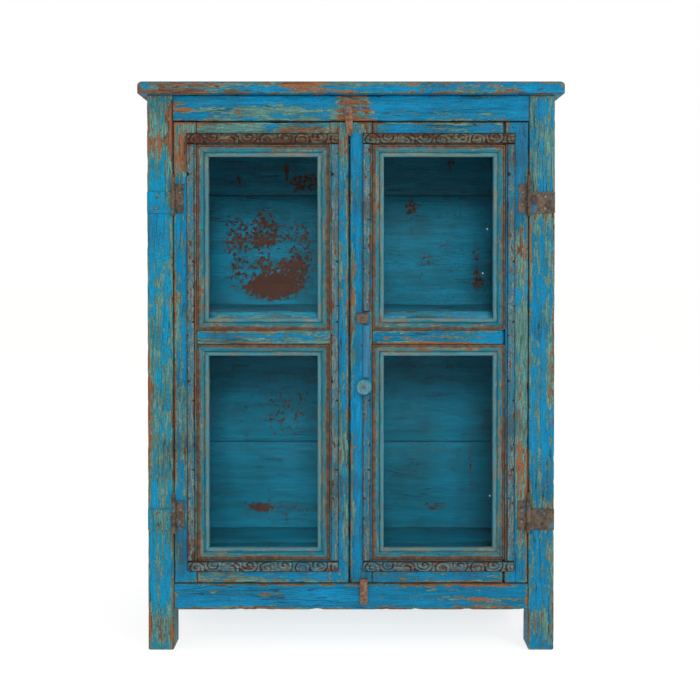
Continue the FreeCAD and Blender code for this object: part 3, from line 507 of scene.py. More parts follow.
# %% The paints of the front, each with its own worn spots
left_post_paint = painted(
    "left_post_paint", (BRIGHT_BLUE, TURQUOISE, SEA_GREEN, GREY_GREEN, ORANGE_WOOD, BROWN_WOOD),
    wear=0.15, undercoat=0.31, dirt=0.35,
    spots=[
        ("front_left_post", 0.85, 0.94, 12, 70, 0.5), ("front_left_post", 0.4, 0.91, 16, 30, 0.35),
        ("front_left_post", 0.05, 0.42, 12, 120, 0.35), ("front_left_post", 0.5, 0.04, 40, 40, 0.3)])
right_post_paint = painted(
    "right_post_paint", BLUE_COATS, wear=0.09, undercoat=0.24,
    spots=[
        ("front_right_post", 0.7, 0.80, 30, 30, 0.45), ("front_right_post", 0.95, 0.5, 10, 150, 0.3),
        ("front_right_post", 0.5, 0.25, 34, 34, 0.3), ("front_right_post", 0.5, 0.05, 40, 40, 0.35)],
    green_spots=[
        ("front_right_post", 0.75, 0.92, 26, 90, 0.35)])
top_rail_paint = painted(
    "top_rail_paint", BLUE_COATS, wear=-0.10, undercoat=0.05, faded=0.4,
    spots=[
        ("front_top_rail", 0.045, 0.68, 16, 5, 0.7), ("front_top_rail", 0.06, 0.42, 22, 6, 0.7),
        ("front_top_rail", 0.51, 0.35, 52, 40, 0.88), ("front_top_rail", 0.2, 0.3, 12, 7, 0.5)],
    green_spots=[
        ("front_top_rail", 0.28, 0.30, 170, 22, 0.62), ("front_top_rail", 0.8, 0.2, 120, 10, 0.4)])
bottom_rail_paint = painted(
    "bottom_rail_paint", BLUE_COATS, wear=-0.06, undercoat=0.06, faded=0.15, edge=0.7, reach=10,
    spots=[
        ("front_bottom_rail", 0.18, 0.1, 90, 12, 0.4), ("front_bottom_rail", 0.3, 0.55, 40, 8, 0.4),
        ("front_bottom_rail", 0.85, 0.3, 80, 12, 0.3)])
top_paint = painted(
    "top_paint", BLUE_COATS, wear=0.17, undercoat=0.04, edge=0.4, reach=12,
    spots=[
        ("top_board_1", 0.10, 0.45, 130, 12, 0.5), ("top_board_1", 0.38, 0.6, 60, 10, 0.5),
        ("top_board_1", 0.9, 0.3, 60, 8, 0.35)])
left_door_paint = painted(
    "left_door_paint", BLUE_COATS, wear=0.14, undercoat=0.24, dirt=0.55, specks=0.8,
    spots=[
        ("left_door_hinge_stile", 0.30, 0.93, 14, 46, 0.6),
        ("left_door_hinge_stile", 0.35, 0.3, 10, 60, 0.3),
        ("left_door_top_rail", 0.8, 0.75, 70, 14, 0.45),
        ("left_door_meeting_stile", 0.7, 0.95, 20, 40, 0.4),
        ("left_door_meeting_stile", 0.55, 0.25, 26, 130, 0.22)],
    green_spots=[
        ("left_door_top_rail", 0.3, 0.75, 90, 18, 0.4)])
right_door_paint = painted(
    "right_door_paint", BLUE_COATS, wear=0.06, undercoat=0.15, faded=0.3, dirt=0.5, specks=0.8,
    spots=[
        ("right_door_hinge_stile", 0.75, 0.70, 14, 72, 0.55),
        ("right_door_hinge_stile", 0.8, 0.3, 11, 230, 0.34),
        ("right_door_top_rail", 0.05, 0.8, 40, 18, 0.5),
        ("right_door_meeting_stile", 0.1, 0.6, 6, 160, 0.3),
        ("right_door_bottom_rail", 0.5, 0.4, 90, 14, 0.25)],
    green_spots=[
        ("right_door_hinge_stile", 0.75, 0.55, 20, 60, 0.45),
        ("right_door_hinge_stile", 0.8, 0.45, 17, 330, 0.32)])
print("front paints made")

# %% [markdown]
# ## The inside, the beads and the carving
# Indoors the paint never saw the sun, so it is a darker teal, flatter, and spotted where damp has
# lifted it from the boards. The beads round the panes are worn brown at their outer fillet, with a painted
# highlight on their sight edge and painted shade in their hollows, and the carving has kept its paint only
# in patches over a dark reddish brown.

# %% Inner paint, bead paint, carving paint, bare wood
INSIDE_BLUE = colour(5, 128, 160)
INSIDE_TEAL = colour(11, 104, 126)
STAIN_BROWN = colour(74, 48, 40)
RED_BROWN = colour(104, 62, 46)
inner_coats = (INSIDE_BLUE, INSIDE_TEAL, colour(52, 108, 118), colour(40, 84, 98), colour(92, 60, 48),
               STAIN_BROWN)
inner_paint = painted(
    "inner_paint", inner_coats, wear=-0.12, undercoat=-0.04, edge=0.2, reach=3, splits=0.5, dirt=0.3,
    specks=1.0,
    depth=0.4, streak=0.6, streaky=0.3, flaky=2.8, edge_shade=0.9,
    flake_size=120.0,
    spots=[
        ("back_board_3", 0.255, 0.32, 140, 58, 0.66), ("back_board_3", 0.155, 0.64, 42, 84, 0.76),
        ("back_board_3", 0.24, 0.70, 42, 84, 0.80), ("back_board_3", 0.34, 0.62, 52, 76, 0.52),
        ("back_board_3", 0.268, 0.25, 66, 38, 0.6), ("back_board_4", 0.37, 0.18, 60, 34, 0.72),
        ("back_board_4", 0.168, 0.30, 9, 36, 0.75), ("back_board_4", 0.307, 0.36, 9, 26, 0.7),
        ("back_board_3", 0.684, 0.90, 28, 34, 0.66), ("back_board_4", 0.80, 0.45, 12, 26, 0.6),
        ("back_board_3", 0.73, 0.48, 24, 22, 0.52), ("back_board_3", 0.78, 0.62, 26, 20, 0.42),
        ("back_board_3", 0.872, 0.50, 16, 54, 0.66), ("back_board_3", 0.88, 0.30, 22, 26, 0.66),
        ("back_board_3", 0.925, 0.48, 10, 46, 0.6), ("back_board_3", 0.80, 0.36, 30, 30, 0.4),
        ("back_board_2", 0.30, 0.30, 110, 110, 0.40), ("back_board_1", 0.86, 0.75, 8, 110, 0.55),
        ("back_board_1", 0.30, 0.30, 120, 40, 0.42), ("back_board_2", 0.75, 0.5, 110, 90, 0.34),
        ("back_board_1", 0.227, 0.36, 34, 12, 0.6), ("back_board_1", 0.758, 0.36, 34, 16, 0.62)])
HOLE_REACH = 2.6
NAIL_HOLES = [("back_board_3", 0.907, 0.727), ("back_board_3", 0.894, 0.366), ("back_board_1", 0.916, 0.47),
              ("back_board_1", 0.205, 0.15)]


def let_daylight_in(material):
    """Painted light: small glowing spots on the back boards where nails have fallen out, though the boards
    have no holes.
    """
    tree = material.node_tree
    shader = tree.nodes["Principled BSDF"]
    place = part(tree, "TexCoord").outputs["Object"]
    holes = [(node, across, up, HOLE_REACH, HOLE_REACH, 1.0) for node, across, up in NAIL_HOLES]
    light = step(tree, add_spots(tree, place, holes), 0.55, 0.75)
    feed(tree, shader.inputs["Emission Color"], tint(tree, light, (0, 0, 0, 1), (1, 1, 1, 1)))
    shader.inputs["Emission Strength"].default_value = 1.0


let_daylight_in(inner_paint)
shelf_paint = painted("shelf_paint", inner_coats, wear=0.0, undercoat=0.0, edge=0.5, reach=6, splits=0.6,
                      dirt=0.5)
bead_paint = painted(
    "bead_paint", (colour(20, 104, 124), colour(44, 112, 120), colour(112, 124, 112), colour(74, 96, 92),
                   colour(128, 84, 56), RED_BROWN),
    wear=0.17, undercoat=0.2, edge=0.5, reach=2.5, splits=0.5, dirt=0.2, depth=0.4, streak=1.6, edge_shade=0.0)


def show_bead_bands(material):
    """Browns the outer fillet, paints a highlight on the sight edge, each in broken stretches, and paints
    shade in the hollows.
    """
    tree = material.node_tree
    shader = tree.nodes["Principled BSDF"]
    place = part(tree, "TexCoord").outputs["Object"]
    rim = part(tree, "Attribute", attribute_name="rim").outputs["Fac"]
    stretch_noise = swing(tree, cloud(tree, place, 16, detail=5, rough=0.6), 0.9)
    outer = step(tree, total(tree, rim, stretch_noise), 0.62, 0.72)
    outer = times(tree, outer, step(tree, rim, 0.62, 0.68))
    # Painted highlight: the sight edge next to the glass is paled in broken stretches, as if it caught the
    # light.
    away_from_rim = calc(tree, "SUBTRACT", 0.30, rim)
    pale_noise = swing(tree, cloud(tree, place, 24, detail=4), 0.5)
    pale = step(tree, total(tree, away_from_rim, pale_noise), 0.0, 0.1)
    face = shader.inputs["Base Color"].links[0].from_socket
    grain = cloud(tree, place, 90, detail=4)
    brown = tint(tree, step(tree, grain, 0.4, 0.6), colour(84, 60, 48), colour(108, 82, 60))
    light = tint(tree, step(tree, grain, 0.4, 0.6), colour(80, 132, 146), colour(108, 118, 106))
    face = tint(tree, times(tree, outer, 0.9), face, brown)
    face = tint(tree, times(tree, pale, 0.5), face, light)
    # Painted shade: dark lines in the two hollows of the section, and a dark shadow line along the outer edge
    # where the bead meets the frame.
    groove = inverse(tree, step(tree, calc(tree, "ABSOLUTE", calc(tree, "SUBTRACT", rim, 0.84)), 0.0, 0.05))
    hollow = inverse(tree, step(tree, calc(tree, "ABSOLUTE", calc(tree, "SUBTRACT", rim, 0.37)), 0.0, 0.05))
    dark = times(tree, calc(tree, "MAXIMUM", groove, hollow), 0.65)
    face = tint(tree, dark, face, colour(26, 34, 36))
    face = tint(tree, step(tree, rim, 0.94, 0.97), face, colour(20, 20, 20))
    feed(tree, shader.inputs["Base Color"], face)


show_bead_bands(bead_paint)
old_wood = painted(
    "old_wood", (colour(112, 88, 66), colour(92, 70, 52), colour(124, 98, 74), colour(84, 64, 48),
                 colour(132, 100, 70), colour(80, 58, 42)),
    wear=0.2, undercoat=0.3, edge=0.3, reach=5, splits=0.8, dirt=0.4, depth=0.5)
print("inside, bead and wood finishes made")


def carved_finish(name, coats, wear, undercoat):
    """A carved finish: worn paint that darkens down in the cuts."""
    material = painted(name, coats, wear=wear, undercoat=undercoat, edge=0.6, reach=2.5, depth=0.5,
                       splits=0.4,
                       dirt=0.45, specks=1.0, flaky=1.7, flake_size=95.0, edge_shade=0.75)
    tree = material.node_tree
    shader = tree.nodes["Principled BSDF"]
    cut = part(tree, "Attribute", attribute_name="cut").outputs["Fac"]
    face = shader.inputs["Base Color"].links[0].from_socket
    feed(tree, shader.inputs["Base Color"], tint(tree, step(tree, cut, 0.3, 0.95), face, colour(38, 28, 25)))
    return material


carved_paint = carved_finish(
    "carved_paint", (colour(24, 104, 132), colour(54, 110, 124), colour(104, 124, 122), colour(60, 82, 86),
                     RED_BROWN, colour(56, 38, 33)), 0.27, 0.30)
carved_brown = carved_finish(
    "carved_brown", (colour(50, 108, 116), colour(66, 104, 102), colour(104, 104, 84), colour(72, 66, 54),
                     colour(92, 56, 42), colour(50, 32, 28)), 0.44, 0.3)

rod_paint = painted("rod_paint", BLUE_COATS, wear=-0.14, undercoat=0.1, edge=0.2, reach=2, depth=0.3,
                    edge_shade=0.5)
rod_shader = rod_paint.node_tree.nodes["Principled BSDF"]
rod_shader.inputs["Coat Weight"].default_value = 0.9
rod_shader.inputs["Coat Roughness"].default_value = 0.3

# %% [markdown]
# ## Iron
# The hinges, nails and buttons are hand-forged iron with a brown skin of rust, smoother and darker
# where fingers have rubbed it. Rust isn't a metal to the light, so the metal shows only where the
# mask says that it has been rubbed.

# %% Group: rust, and the iron finishes
def build_rust():
    """Rust colour, roughness, height and the mask of rubbed metal."""
    inputs = [("Place", "Vector", None), ("Dark", "Color", None), ("Light", "Color", None),
              ("Rubbed", "Float", 0.2)]
    outputs = [("Colour", "Color"), ("Roughness", "Float"), ("Height", "Float"), ("Metal", "Float")]
    tree, entry, leave = new_group("Rust", inputs, outputs)
    scale = cloud(tree, entry["Place"], 160, detail=5, rough=0.7)
    grit = cloud(tree, entry["Place"], 900, detail=2)
    patch = cloud(tree, entry["Place"], 45, detail=3)
    face = tint(tree, step(tree, scale, 0.38, 0.64), entry["Dark"], entry["Light"])
    face = tint(tree, step(tree, patch, 0.52, 0.72), face, colour(102, 74, 52))
    metal = times(tree, step(tree, patch, 0.6, 0.36), entry["Rubbed"])
    feed(tree, leave["Colour"], face)
    feed(tree, leave["Roughness"], total(tree, 0.5, swing(tree, scale, 0.5)))
    feed(tree, leave["Height"], total(tree, scale, times(tree, grit, 0.3)))
    feed(tree, leave["Metal"], metal)
    return tree


RUST = build_rust()


def iron(name, dark, light, rubbed, painted_over=0.0):
    """An iron finish in two tones of rust, with some of the cabinet's paint left on it."""
    material, tree, shader = start_material(name)
    place = part(tree, "TexCoord").outputs["Object"]
    rust = use_group(tree, RUST, {"Place": place, "Dark": dark, "Light": light, "Rubbed": rubbed})
    kept = step(tree, cloud(tree, place, 55, detail=6, rough=0.7), 0.62 - painted_over, 0.66 - painted_over)
    face = tint(tree, times(tree, kept, 0.85), rust["Colour"], tint(tree, kept, GREY_GREEN, DEEP_BLUE))
    finish_surface(tree, shader, face, rust["Roughness"], rust["Height"], 0.35 * MM)
    feed(tree, shader.inputs["Metallic"], rust["Metal"])
    return material


hinge_iron = iron("hinge_iron", colour(50, 41, 36), colour(92, 78, 62), 0.25, 0.05)
button_iron = iron("button_iron", colour(84, 56, 42), colour(138, 96, 66), 0.35)
nail_iron = iron("nail_iron", colour(70, 62, 58), colour(128, 116, 106), 0.5)

# %% [markdown]
# ## Window glass
# The panes are thin sheets of old window glass. Glass that is modelled with a real thickness bends the
# light correctly, but it would also keep the lamps out of the cabinet, because a ray tracer sees its
# shadow as solid. So shadow rays pass it as if it weren't there, and only the eye meets the glass. Its
# index is also set below that of real glass, so that it reflects less of the white room all round.

# %% Glass
def window_glass():
    """Clear glass with a faint waviness and a trace of dust."""
    material, tree, shader = start_material("window_glass")
    place = part(tree, "TexCoord").outputs["Object"]
    dust = step(tree, cloud(tree, place, 8, detail=4), 0.4, 0.8)
    feed(tree, shader.inputs["Base Color"], tint(tree, dust, colour(246, 250, 249), colour(232, 240, 238)))
    feed(tree, shader.inputs["Roughness"], calc(tree, "MULTIPLY_ADD", dust, 0.02, 0.0))
    shader.inputs["Transmission Weight"].default_value = 1.0
    shader.inputs["IOR"].default_value = 1.1
    wave = part(tree, "Bump", {"Height": cloud(tree, place, 5, detail=1), "Distance": 0.002, "Strength": 0.3})
    feed(tree, shader.inputs["Normal"], wave.outputs[0])
    clear = part(tree, "BsdfTransparent")
    ray = part(tree, "LightPath").outputs["Is Shadow Ray"]
    both = part(tree, "MixShader", {0: ray, 1: shader.outputs[0], 2: clear.outputs[0]})
    tree.links.new(both.outputs[0], tree.nodes["Material Output"].inputs["Surface"])
    return material


glass = window_glass()
print("materials:", len(bpy.data.materials), "groups:", len(bpy.data.node_groups))

# %% [markdown]
# ## Tools for shaping boards
# A sawn and planed board starts as a block, has its edges rounded, and is then divided along its length
# so that the wear has points to move. The wear only ever takes wood away: chips along the edges, and a
# slow ripple over the faces, as a hand plane leaves it.

# %% Board helpers
WELD = 0.01 * MM
boards_marked = 0


def solids(node):
    """The separate solids of a CAD node, as lowest and highest corners, from a merged copy of its mesh."""
    copy = bmesh.new()
    copy.from_mesh(frame["nodes"][node].data)
    bmesh.ops.remove_doubles(copy, verts=copy.verts, dist=WELD)
    boxes = []
    for start in copy.verts:
        if start.tag:
            continue
        start.tag = True
        island = [start]
        for vert in island:
            for edge in vert.link_edges:
                other = edge.other_vert(vert)
                if not other.tag:
                    other.tag = True
                    island.append(other)
        low = Vector([min(vert.co[axis] for vert in island) for axis in range(3)])
        high = Vector([max(vert.co[axis] for vert in island) for axis in range(3)])
        boxes.append((low, high))
    copy.free()
    return sorted(boxes, key=lambda box: tuple(round(value, 5) for value in box[0]))


def divide(work, axis, length):
    """Divides every edge that runs along an axis into pieces of about that length."""
    runs = {}
    for edge in work.edges:
        way = edge.verts[1].co - edge.verts[0].co
        reach = abs(way[axis])
        if reach > 1.5 * length and reach > 0.999 * way.length:
            runs.setdefault(max(1, round(reach / length) - 1), []).append(edge)
    for cuts, edges in sorted(runs.items()):
        bmesh.ops.subdivide_edges(work, edges=edges, cuts=cuts, use_grid_fill=True)


def mark(work, low, high, along, chosen=None):
    """Stores the marks that the paint reads: place from the middle, half size, and place in the grain."""
    global boards_marked
    boards_marked += 1
    layers = work.verts.layers.float_vector
    local = layers.get("local") or layers.new("local")
    half = layers.get("half") or layers.new("half")
    grain = layers.get("grain") or layers.new("grain")
    middle = (low + high) / 2
    size = (high - low) / 2
    across, through = [axis for axis in range(3) if axis != along]
    shift = Vector((boards_marked * 0.618 % 1, boards_marked * 0.414 % 1, boards_marked * 0.732 % 1)) * 6
    for vert in chosen or work.verts:
        vert[local] = vert.co - middle
        vert[half] = size
        vert[grain] = Vector((vert.co[along], vert.co[across], vert.co[through])) + shift


def rub_down(work, low, high, along, edge, chips, ripple=0.3 * MM):
    """Takes wood away: chips where two faces meet, a slow ripple on the faces. Nothing moves outwards."""
    middle = (low + high) / 2
    half = (high - low) / 2
    for vert in work.verts:
        place = vert.co - middle
        near = [axis for axis in range(3) if axis != along and half[axis] - abs(place[axis]) < 1.05 * edge]
        wave = noise.noise(vert.co * 38) + 0.6 * noise.noise(vert.co * 115)
        bite = chips * max(0.0, wave - 0.05) if len(near) > 1 else 0.0
        bite += ripple * max(0.0, 0.5 + 0.5 * noise.noise(vert.co * 13))
        for axis in near:
            vert.co[axis] -= math.copysign(bite, place[axis])


def round_edges(work, edges, radius, segments=2):
    """Rounds the given edges."""
    bmesh.ops.bevel(work, geom=edges, offset=radius, offset_type="OFFSET", affect="EDGES", segments=segments,
                    profile=0.5, material=-1, clamp_overlap=True)


def add_to(whole, work):
    """Adds a finished solid to a piece's mesh and clears it away."""
    carrier = bpy.data.meshes.new("carrier")
    work.to_mesh(carrier)
    work.free()
    whole.from_mesh(carrier)
    bpy.data.meshes.remove(carrier)


def block(low, high):
    """A new mesh that holds one block between two corners."""
    work = bmesh.new()
    bmesh.ops.create_cube(work, size=1)
    bmesh.ops.scale(work, vec=high - low, verts=work.verts)
    bmesh.ops.translate(work, vec=(low + high) / 2, verts=work.verts)
    return work


def board(whole, low, high, along, edge=1.4 * MM, chips=1.6 * MM, length=11 * MM, wide=40 * MM):
    """Adds one worn board to a piece, with its grain along an axis."""
    work = block(low, high)
    round_edges(work, work.edges[:], edge)
    divide(work, along, length)
    for axis in range(3):
        if axis != along:
            divide(work, axis, wide)
    mark(work, low, high, along)
    rub_down(work, low, high, along, edge, chips)
    add_to(whole, work)


def present(work, node, slot, *finishes, sharp=42):
    """Makes a mesh the object that rides on its node's body and is shown in place of that node."""
    name = "old_" + node
    many_sided = [face for face in work.faces if len(face.verts) > 4]
    bmesh.ops.triangulate(work, faces=many_sided, quad_method="BEAUTY", ngon_method="BEAUTY")
    bmesh.ops.recalc_face_normals(work, faces=work.faces)
    mesh = bpy.data.meshes.new(name)
    work.to_mesh(mesh)
    work.free()
    mesh.shade_smooth()
    mesh.set_sharp_from_angle(angle=math.radians(sharp))
    for finish in finishes:
        mesh.materials.append(finish)
    piece = bpy.data.objects.new(name, mesh)
    bpy.context.scene.collection.objects.link(piece)
    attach(piece, BODY_OF[node])
    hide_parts(node)
    return piece


X, Y, Z = range(3)
print("solids in the floor cleats node:", len(solids("floor_cleats")))

# %% [markdown]
# ## Posts
# The four posts are square in section and run from the floor to the underside of the top, so their
# lower ends are the legs. The real ones have mortises for the rails. Those joints are closed in the
# finished cabinet, so a plain block with worn edges and a chamfered foot is the whole of what shows.

# %% Posts
FOOT_CHAMFER = 3 * MM
POST_EDGE = 2 * MM
POST_PAINTS = {"front_left": left_post_paint, "front_right": right_post_paint,
               "back_left": side_blue, "back_right": side_blue}
for corner, paint in POST_PAINTS.items():
    node = corner + "_post"
    low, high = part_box(node)
    whole = bmesh.new()
    work = block(low, high)
    foot = [edge for edge in work.edges if all(vert.co.z < low.z + MM for vert in edge.verts)]
    round_edges(work, foot, FOOT_CHAMFER, segments=1)
    upright = [edge for edge in work.edges if abs(edge.verts[0].co.z - edge.verts[1].co.z) > 0.5]
    round_edges(work, upright, POST_EDGE)
    divide(work, Z, 9 * MM)
    divide(work, X, 14 * MM)
    divide(work, Y, 14 * MM)
    mark(work, low, high, Z)
    rub_down(work, low, high, Z, POST_EDGE, 1.1 * MM)
    add_to(whole, work)
    present(whole, node, "blue_paint", paint)
print("posts are", [round(side / MM) for side in high - low])

# %% [markdown]
# ## Rails
# Eight rails join the posts, four along the top and four below the floor boards. Only the length
# between the posts shows, so each rail is cut to the gap, less a hair at each shoulder, which gives the
# thin dark line of a real joint.

# %% Rails
SHOULDER = 0.25 * MM
inner_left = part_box("front_left_post")[1].x
inner_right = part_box("front_right_post")[0].x
inner_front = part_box("front_left_post")[1].y
inner_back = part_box("back_left_post")[0].y
RAIL_PAINTS = {"front_top_rail": top_rail_paint, "front_bottom_rail": bottom_rail_paint,
               "back_top_rail": shelf_paint, "back_bottom_rail": shelf_paint}
for node, paint in RAIL_PAINTS.items():
    low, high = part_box(node)
    low.x, high.x = inner_left + SHOULDER, inner_right - SHOULDER
    whole = bmesh.new()
    board(whole, low, high, X, edge=1.6 * MM, chips=2.6 * MM, length=8 * MM, wide=12 * MM)
    present(whole, node, "blue_paint" if paint in (top_rail_paint, bottom_rail_paint) else "inner_paint",
            paint)
for node in [side + level for side in ("left_side_", "right_side_") for level in ("top_rail", "bottom_rail")]:
    low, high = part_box(node)
    low.y, high.y = inner_front + SHOULDER, inner_back - SHOULDER
    whole = bmesh.new()
    board(whole, low, high, Y, edge=1.6 * MM, chips=2 * MM)
    present(whole, node, "blue_paint", side_blue)
print("rails between posts are", round((inner_right - inner_left) / MM), "wide and",
      round((inner_back - inner_front) / MM), "deep")

# %% [markdown]
# ## Boards
# The walls, the floor, the shelf and the back are plain boards. A board in a wall has two faces with
# different lives: the outer one is in the light and gets rubbed, the inner one stays dark. So a board
# gets two finishes, and each face takes the one for the side that it looks to.

# %% Wall, floor, shelf and back boards
def board_set(node, along, slot, finish, other=None, other_side=None, edge=1.4 * MM, chips=1.4 * MM,
              wide=40 * MM, tongue=0.0):
    """All the boards of one node. Faces that look to the other side take the other finish. A tongue is the
    extra height at the lower edge that fits into the board below."""
    whole = bmesh.new()
    boxes = solids(node)
    for low, high in boxes:
        low.z -= tongue
        board(whole, low, high, along, edge=edge, chips=chips, wide=wide)
    if other:
        whole.normal_update()
        for face in whole.faces:
            face.material_index = 1 if face.normal.dot(Vector(other_side)) > 0.5 else 0
    finishes = [finish, other] if other else [finish]
    present(whole, node, slot, *finishes)
    return len(boxes)


BACK_TONGUE = 2 * MM
count = board_set("left_side_boards", Z, "blue_paint", side_blue, inner_paint, (1, 0, 0))
count += board_set("right_side_boards", Z, "blue_paint", side_blue, inner_paint, (-1, 0, 0))
for number in range(1, 5):
    tongue = BACK_TONGUE if number > 1 else 0.0
    count += board_set(f"back_board_{number}", X, "inner_paint", inner_paint, old_wood, (0, 1, 0),
                       edge=1.8 * MM, chips=0.8 * MM, tongue=tongue)
count += board_set("floor_boards", X, "inner_paint", shelf_paint)
count += board_set("shelf_boards", X, "inner_paint", shelf_paint)
count += board_set("floor_cleats", Y, "old_wood", old_wood)
count += board_set("shelf_cleats", Y, "inner_paint", shelf_paint)
count += board_set("top_door_stop", X, "inner_paint", shelf_paint)
print("boards inside and in the walls:", count)

# %% [markdown]
# ## Top
# Three thick boards make the top. The front one overhangs the doors, and years of dusting have rounded
# its upper edge like a nosing. The upper edges at the ends are rounded the same way, so the block gets
# one wide bevel on those edges and a small one on the rest.

# %% Top boards
NOSING = 9 * MM
TOP_EDGE = 1.6 * MM
for number in range(1, 4):
    node = f"top_board_{number}"
    low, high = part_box(node)
    whole = bmesh.new()
    work = block(low, high)
    nosed = []
    for edge in work.edges:
        upper = all(vert.co.z > high.z - MM for vert in edge.verts)
        at_end = upper and abs(edge.verts[0].co.x - edge.verts[1].co.x) < MM
        at_front = upper and number == 1 and all(vert.co.y < low.y + MM for vert in edge.verts)
        if at_end or at_front:
            nosed.append(edge)
    round_edges(work, nosed, NOSING, segments=6)
    crisp = [edge for edge in work.edges if edge.calc_face_angle(0) > math.radians(50)]
    round_edges(work, crisp, TOP_EDGE)
    divide(work, X, 9 * MM)
    divide(work, Y, 30 * MM)
    mark(work, low, high, X)
    rub_down(work, low, high, X, TOP_EDGE, 2.4 * MM)
    add_to(whole, work)
    present(whole, node, "blue_paint", top_paint)
print("top is", round((high.z - low.z) / MM), "thick")

# %% [markdown]
# ## Door frames
# A stile or rail of a door isn't a plain board: a rebate is cut round the pane, so its section is an L,
# or a T for the middle rail. The section is drawn once with a few points and pulled along the part. The
# rails' front part runs on past the lip to meet the stiles, as it does at a real rebated joint, so it is
# pulled out a second time at both ends.

# %% Stiles
DOOR_EDGE = 1.2 * MM
rebate_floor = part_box("left_door_upper_glass")[1].y
DOOR_PAINT = {"left": left_door_paint, "right": right_door_paint}

DOOR_CHIPS = 1.5 * MM
DOOR_RIPPLE = 0.25 * MM


def outer_edges(work, least=0.5):
    """Edges that stick out, not the ones in an inner corner."""
    return [edge for edge in work.edges if edge.is_manifold and edge.calc_face_angle_signed(0) > least]


def pull(work, faces, way):
    """Pulls faces out along a way. The faces that it starts from stay where they are."""
    pulled = bmesh.ops.extrude_face_region(work, geom=faces)["geom"]
    verts = [item for item in pulled if isinstance(item, bmesh.types.BMVert)]
    bmesh.ops.translate(work, vec=way, verts=verts)


def finish_door_part(work, node, along, full, front, paint):
    """Rounds, divides, marks and wears a door part. The front part of the section has its own edges."""
    bmesh.ops.recalc_face_normals(work, faces=work.faces)
    round_edges(work, outer_edges(work), DOOR_EDGE)
    divide(work, along, 8 * MM)
    for axis in range(3):
        if axis != along:
            divide(work, axis, 12 * MM)
    mark(work, *full, along)
    facing = [vert for vert in work.verts if vert.co.y < rebate_floor - MM]
    mark(work, *front, along, facing)
    rub_down(work, *full, along, DOOR_EDGE, DOOR_CHIPS, ripple=DOOR_RIPPLE)
    present(work, node, "blue_paint", paint)


for side in ("left", "right"):
    wall_low, wall_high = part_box(f"{side}_door_upper_beads")
    for stile in ("hinge", "meeting"):
        node = f"{side}_door_{stile}_stile"
        low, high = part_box(node)
        pane_is_right = low.x < wall_low.x
        wall = wall_low.x if pane_is_right else wall_high.x
        outside, sight = (low.x, high.x) if pane_is_right else (high.x, low.x)
        section = [(outside, low.y), (wall, low.y), (wall, rebate_floor), (sight, rebate_floor),
                   (sight, high.y), (outside, high.y)]
        work = bmesh.new()
        start = work.faces.new([work.verts.new((x, y, low.z)) for x, y in section])
        pull(work, [start], Vector((0, 0, high.z - low.z)))
        front_low, front_high = low.copy(), high.copy()
        front_low.x, front_high.x = sorted((outside, wall))
        finish_door_part(work, node, Z, (low, high), (front_low, front_high), DOOR_PAINT[side])
print("stile section", [(round(x / MM, 1), round(y / MM, 1)) for x, y in section])

# %% [markdown]
# The rails of a real door carry tenons inside the stiles. Closed joints can't be seen, so these end at the
# stiles. Each is one section pulled from stile to stile, with the rebate for pane and beads along its
# edges, and its front runs on at both ends until it meets the front of the stile. Cutting the rebate out of
# a board would give the same shape, but with long thin faces that don't divide evenly.

# %% Door rails
for side in ("left", "right"):
    upper_low, upper_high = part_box(f"{side}_door_upper_beads")
    lower_low, lower_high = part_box(f"{side}_door_lower_beads")
    glass_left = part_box(f"{side}_door_hinge_stile" if side == "left" else f"{side}_door_meeting_stile")[1].x
    glass_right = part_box(f"{side}_door_meeting_stile" if side == "left" else f"{side}_door_hinge_stile")[0].x
    FRONT_SPAN = {
        "top": (upper_high.z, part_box(f"{side}_door_top_rail")[1].z),
        "middle": (lower_high.z, upper_low.z),
        "bottom": (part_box(f"{side}_door_bottom_rail")[0].z, lower_low.z),
    }
    for level, (front_bottom, front_top) in FRONT_SPAN.items():
        node = f"{side}_door_{level}_rail"
        low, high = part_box(node)
        low.x, high.x = glass_left + SHOULDER, glass_right - SHOULDER
        work = bmesh.new()

        def corner(y, z):
            """A point of the rail's section, at the pane's left edge."""
            return work.verts.new((low.x, y, z))

        join = [corner(rebate_floor, front_bottom), corner(rebate_floor, front_top)]
        work.faces.new([join[1], join[0], corner(low.y, front_bottom), corner(low.y, front_top)])
        lower_lip = [corner(rebate_floor, low.z)] if front_bottom - low.z > MM else []
        upper_lip = [corner(rebate_floor, high.z)] if high.z - front_top > MM else []
        back = [corner(high.y, high.z), corner(high.y, low.z)]
        work.faces.new(lower_lip + join + upper_lip + back)
        pull(work, work.faces[:], Vector((high.x - low.x, 0, 0)))
        shoulder = glass_left - upper_low.x - SHOULDER * 2
        for end, way in ((low.x, -1), (high.x, 1)):
            caps = [face for face in work.faces
                    if all(abs(vert.co.x - end) < WELD for vert in face.verts)
                    and all(vert.co.y < rebate_floor + WELD for vert in face.verts)]
            pull(work, caps, Vector((way * shoulder, 0, 0)))
            bmesh.ops.delete(work, geom=caps, context="FACES_ONLY")
        front_low = Vector((low.x - shoulder, low.y, front_bottom))
        front_high = Vector((high.x + shoulder, high.y, front_top))
        full = (Vector((low.x - shoulder, low.y, low.z)), Vector((high.x + shoulder, high.y, high.z)))
        finish_door_part(work, node, X, full, (front_low, front_high), DOOR_PAINT[side])
print("door rails made; the front of the middle rail is", round((front_top - front_bottom) / MM), "tall")

# %% [markdown]
# ## Glazing beads
# Four thin mouldings hold each pane in its rebate, mitred at the corners. Their section has a flat
# fillet at the outside, a hollow that slopes in towards the glass, and a small round at the sight edge.
# One section is drawn at a mitre and pulled to the far mitre. Because a mitre cuts at 45 degrees, a
# point travels further the further out it lies: the bead's length plus twice its distance from the edge.

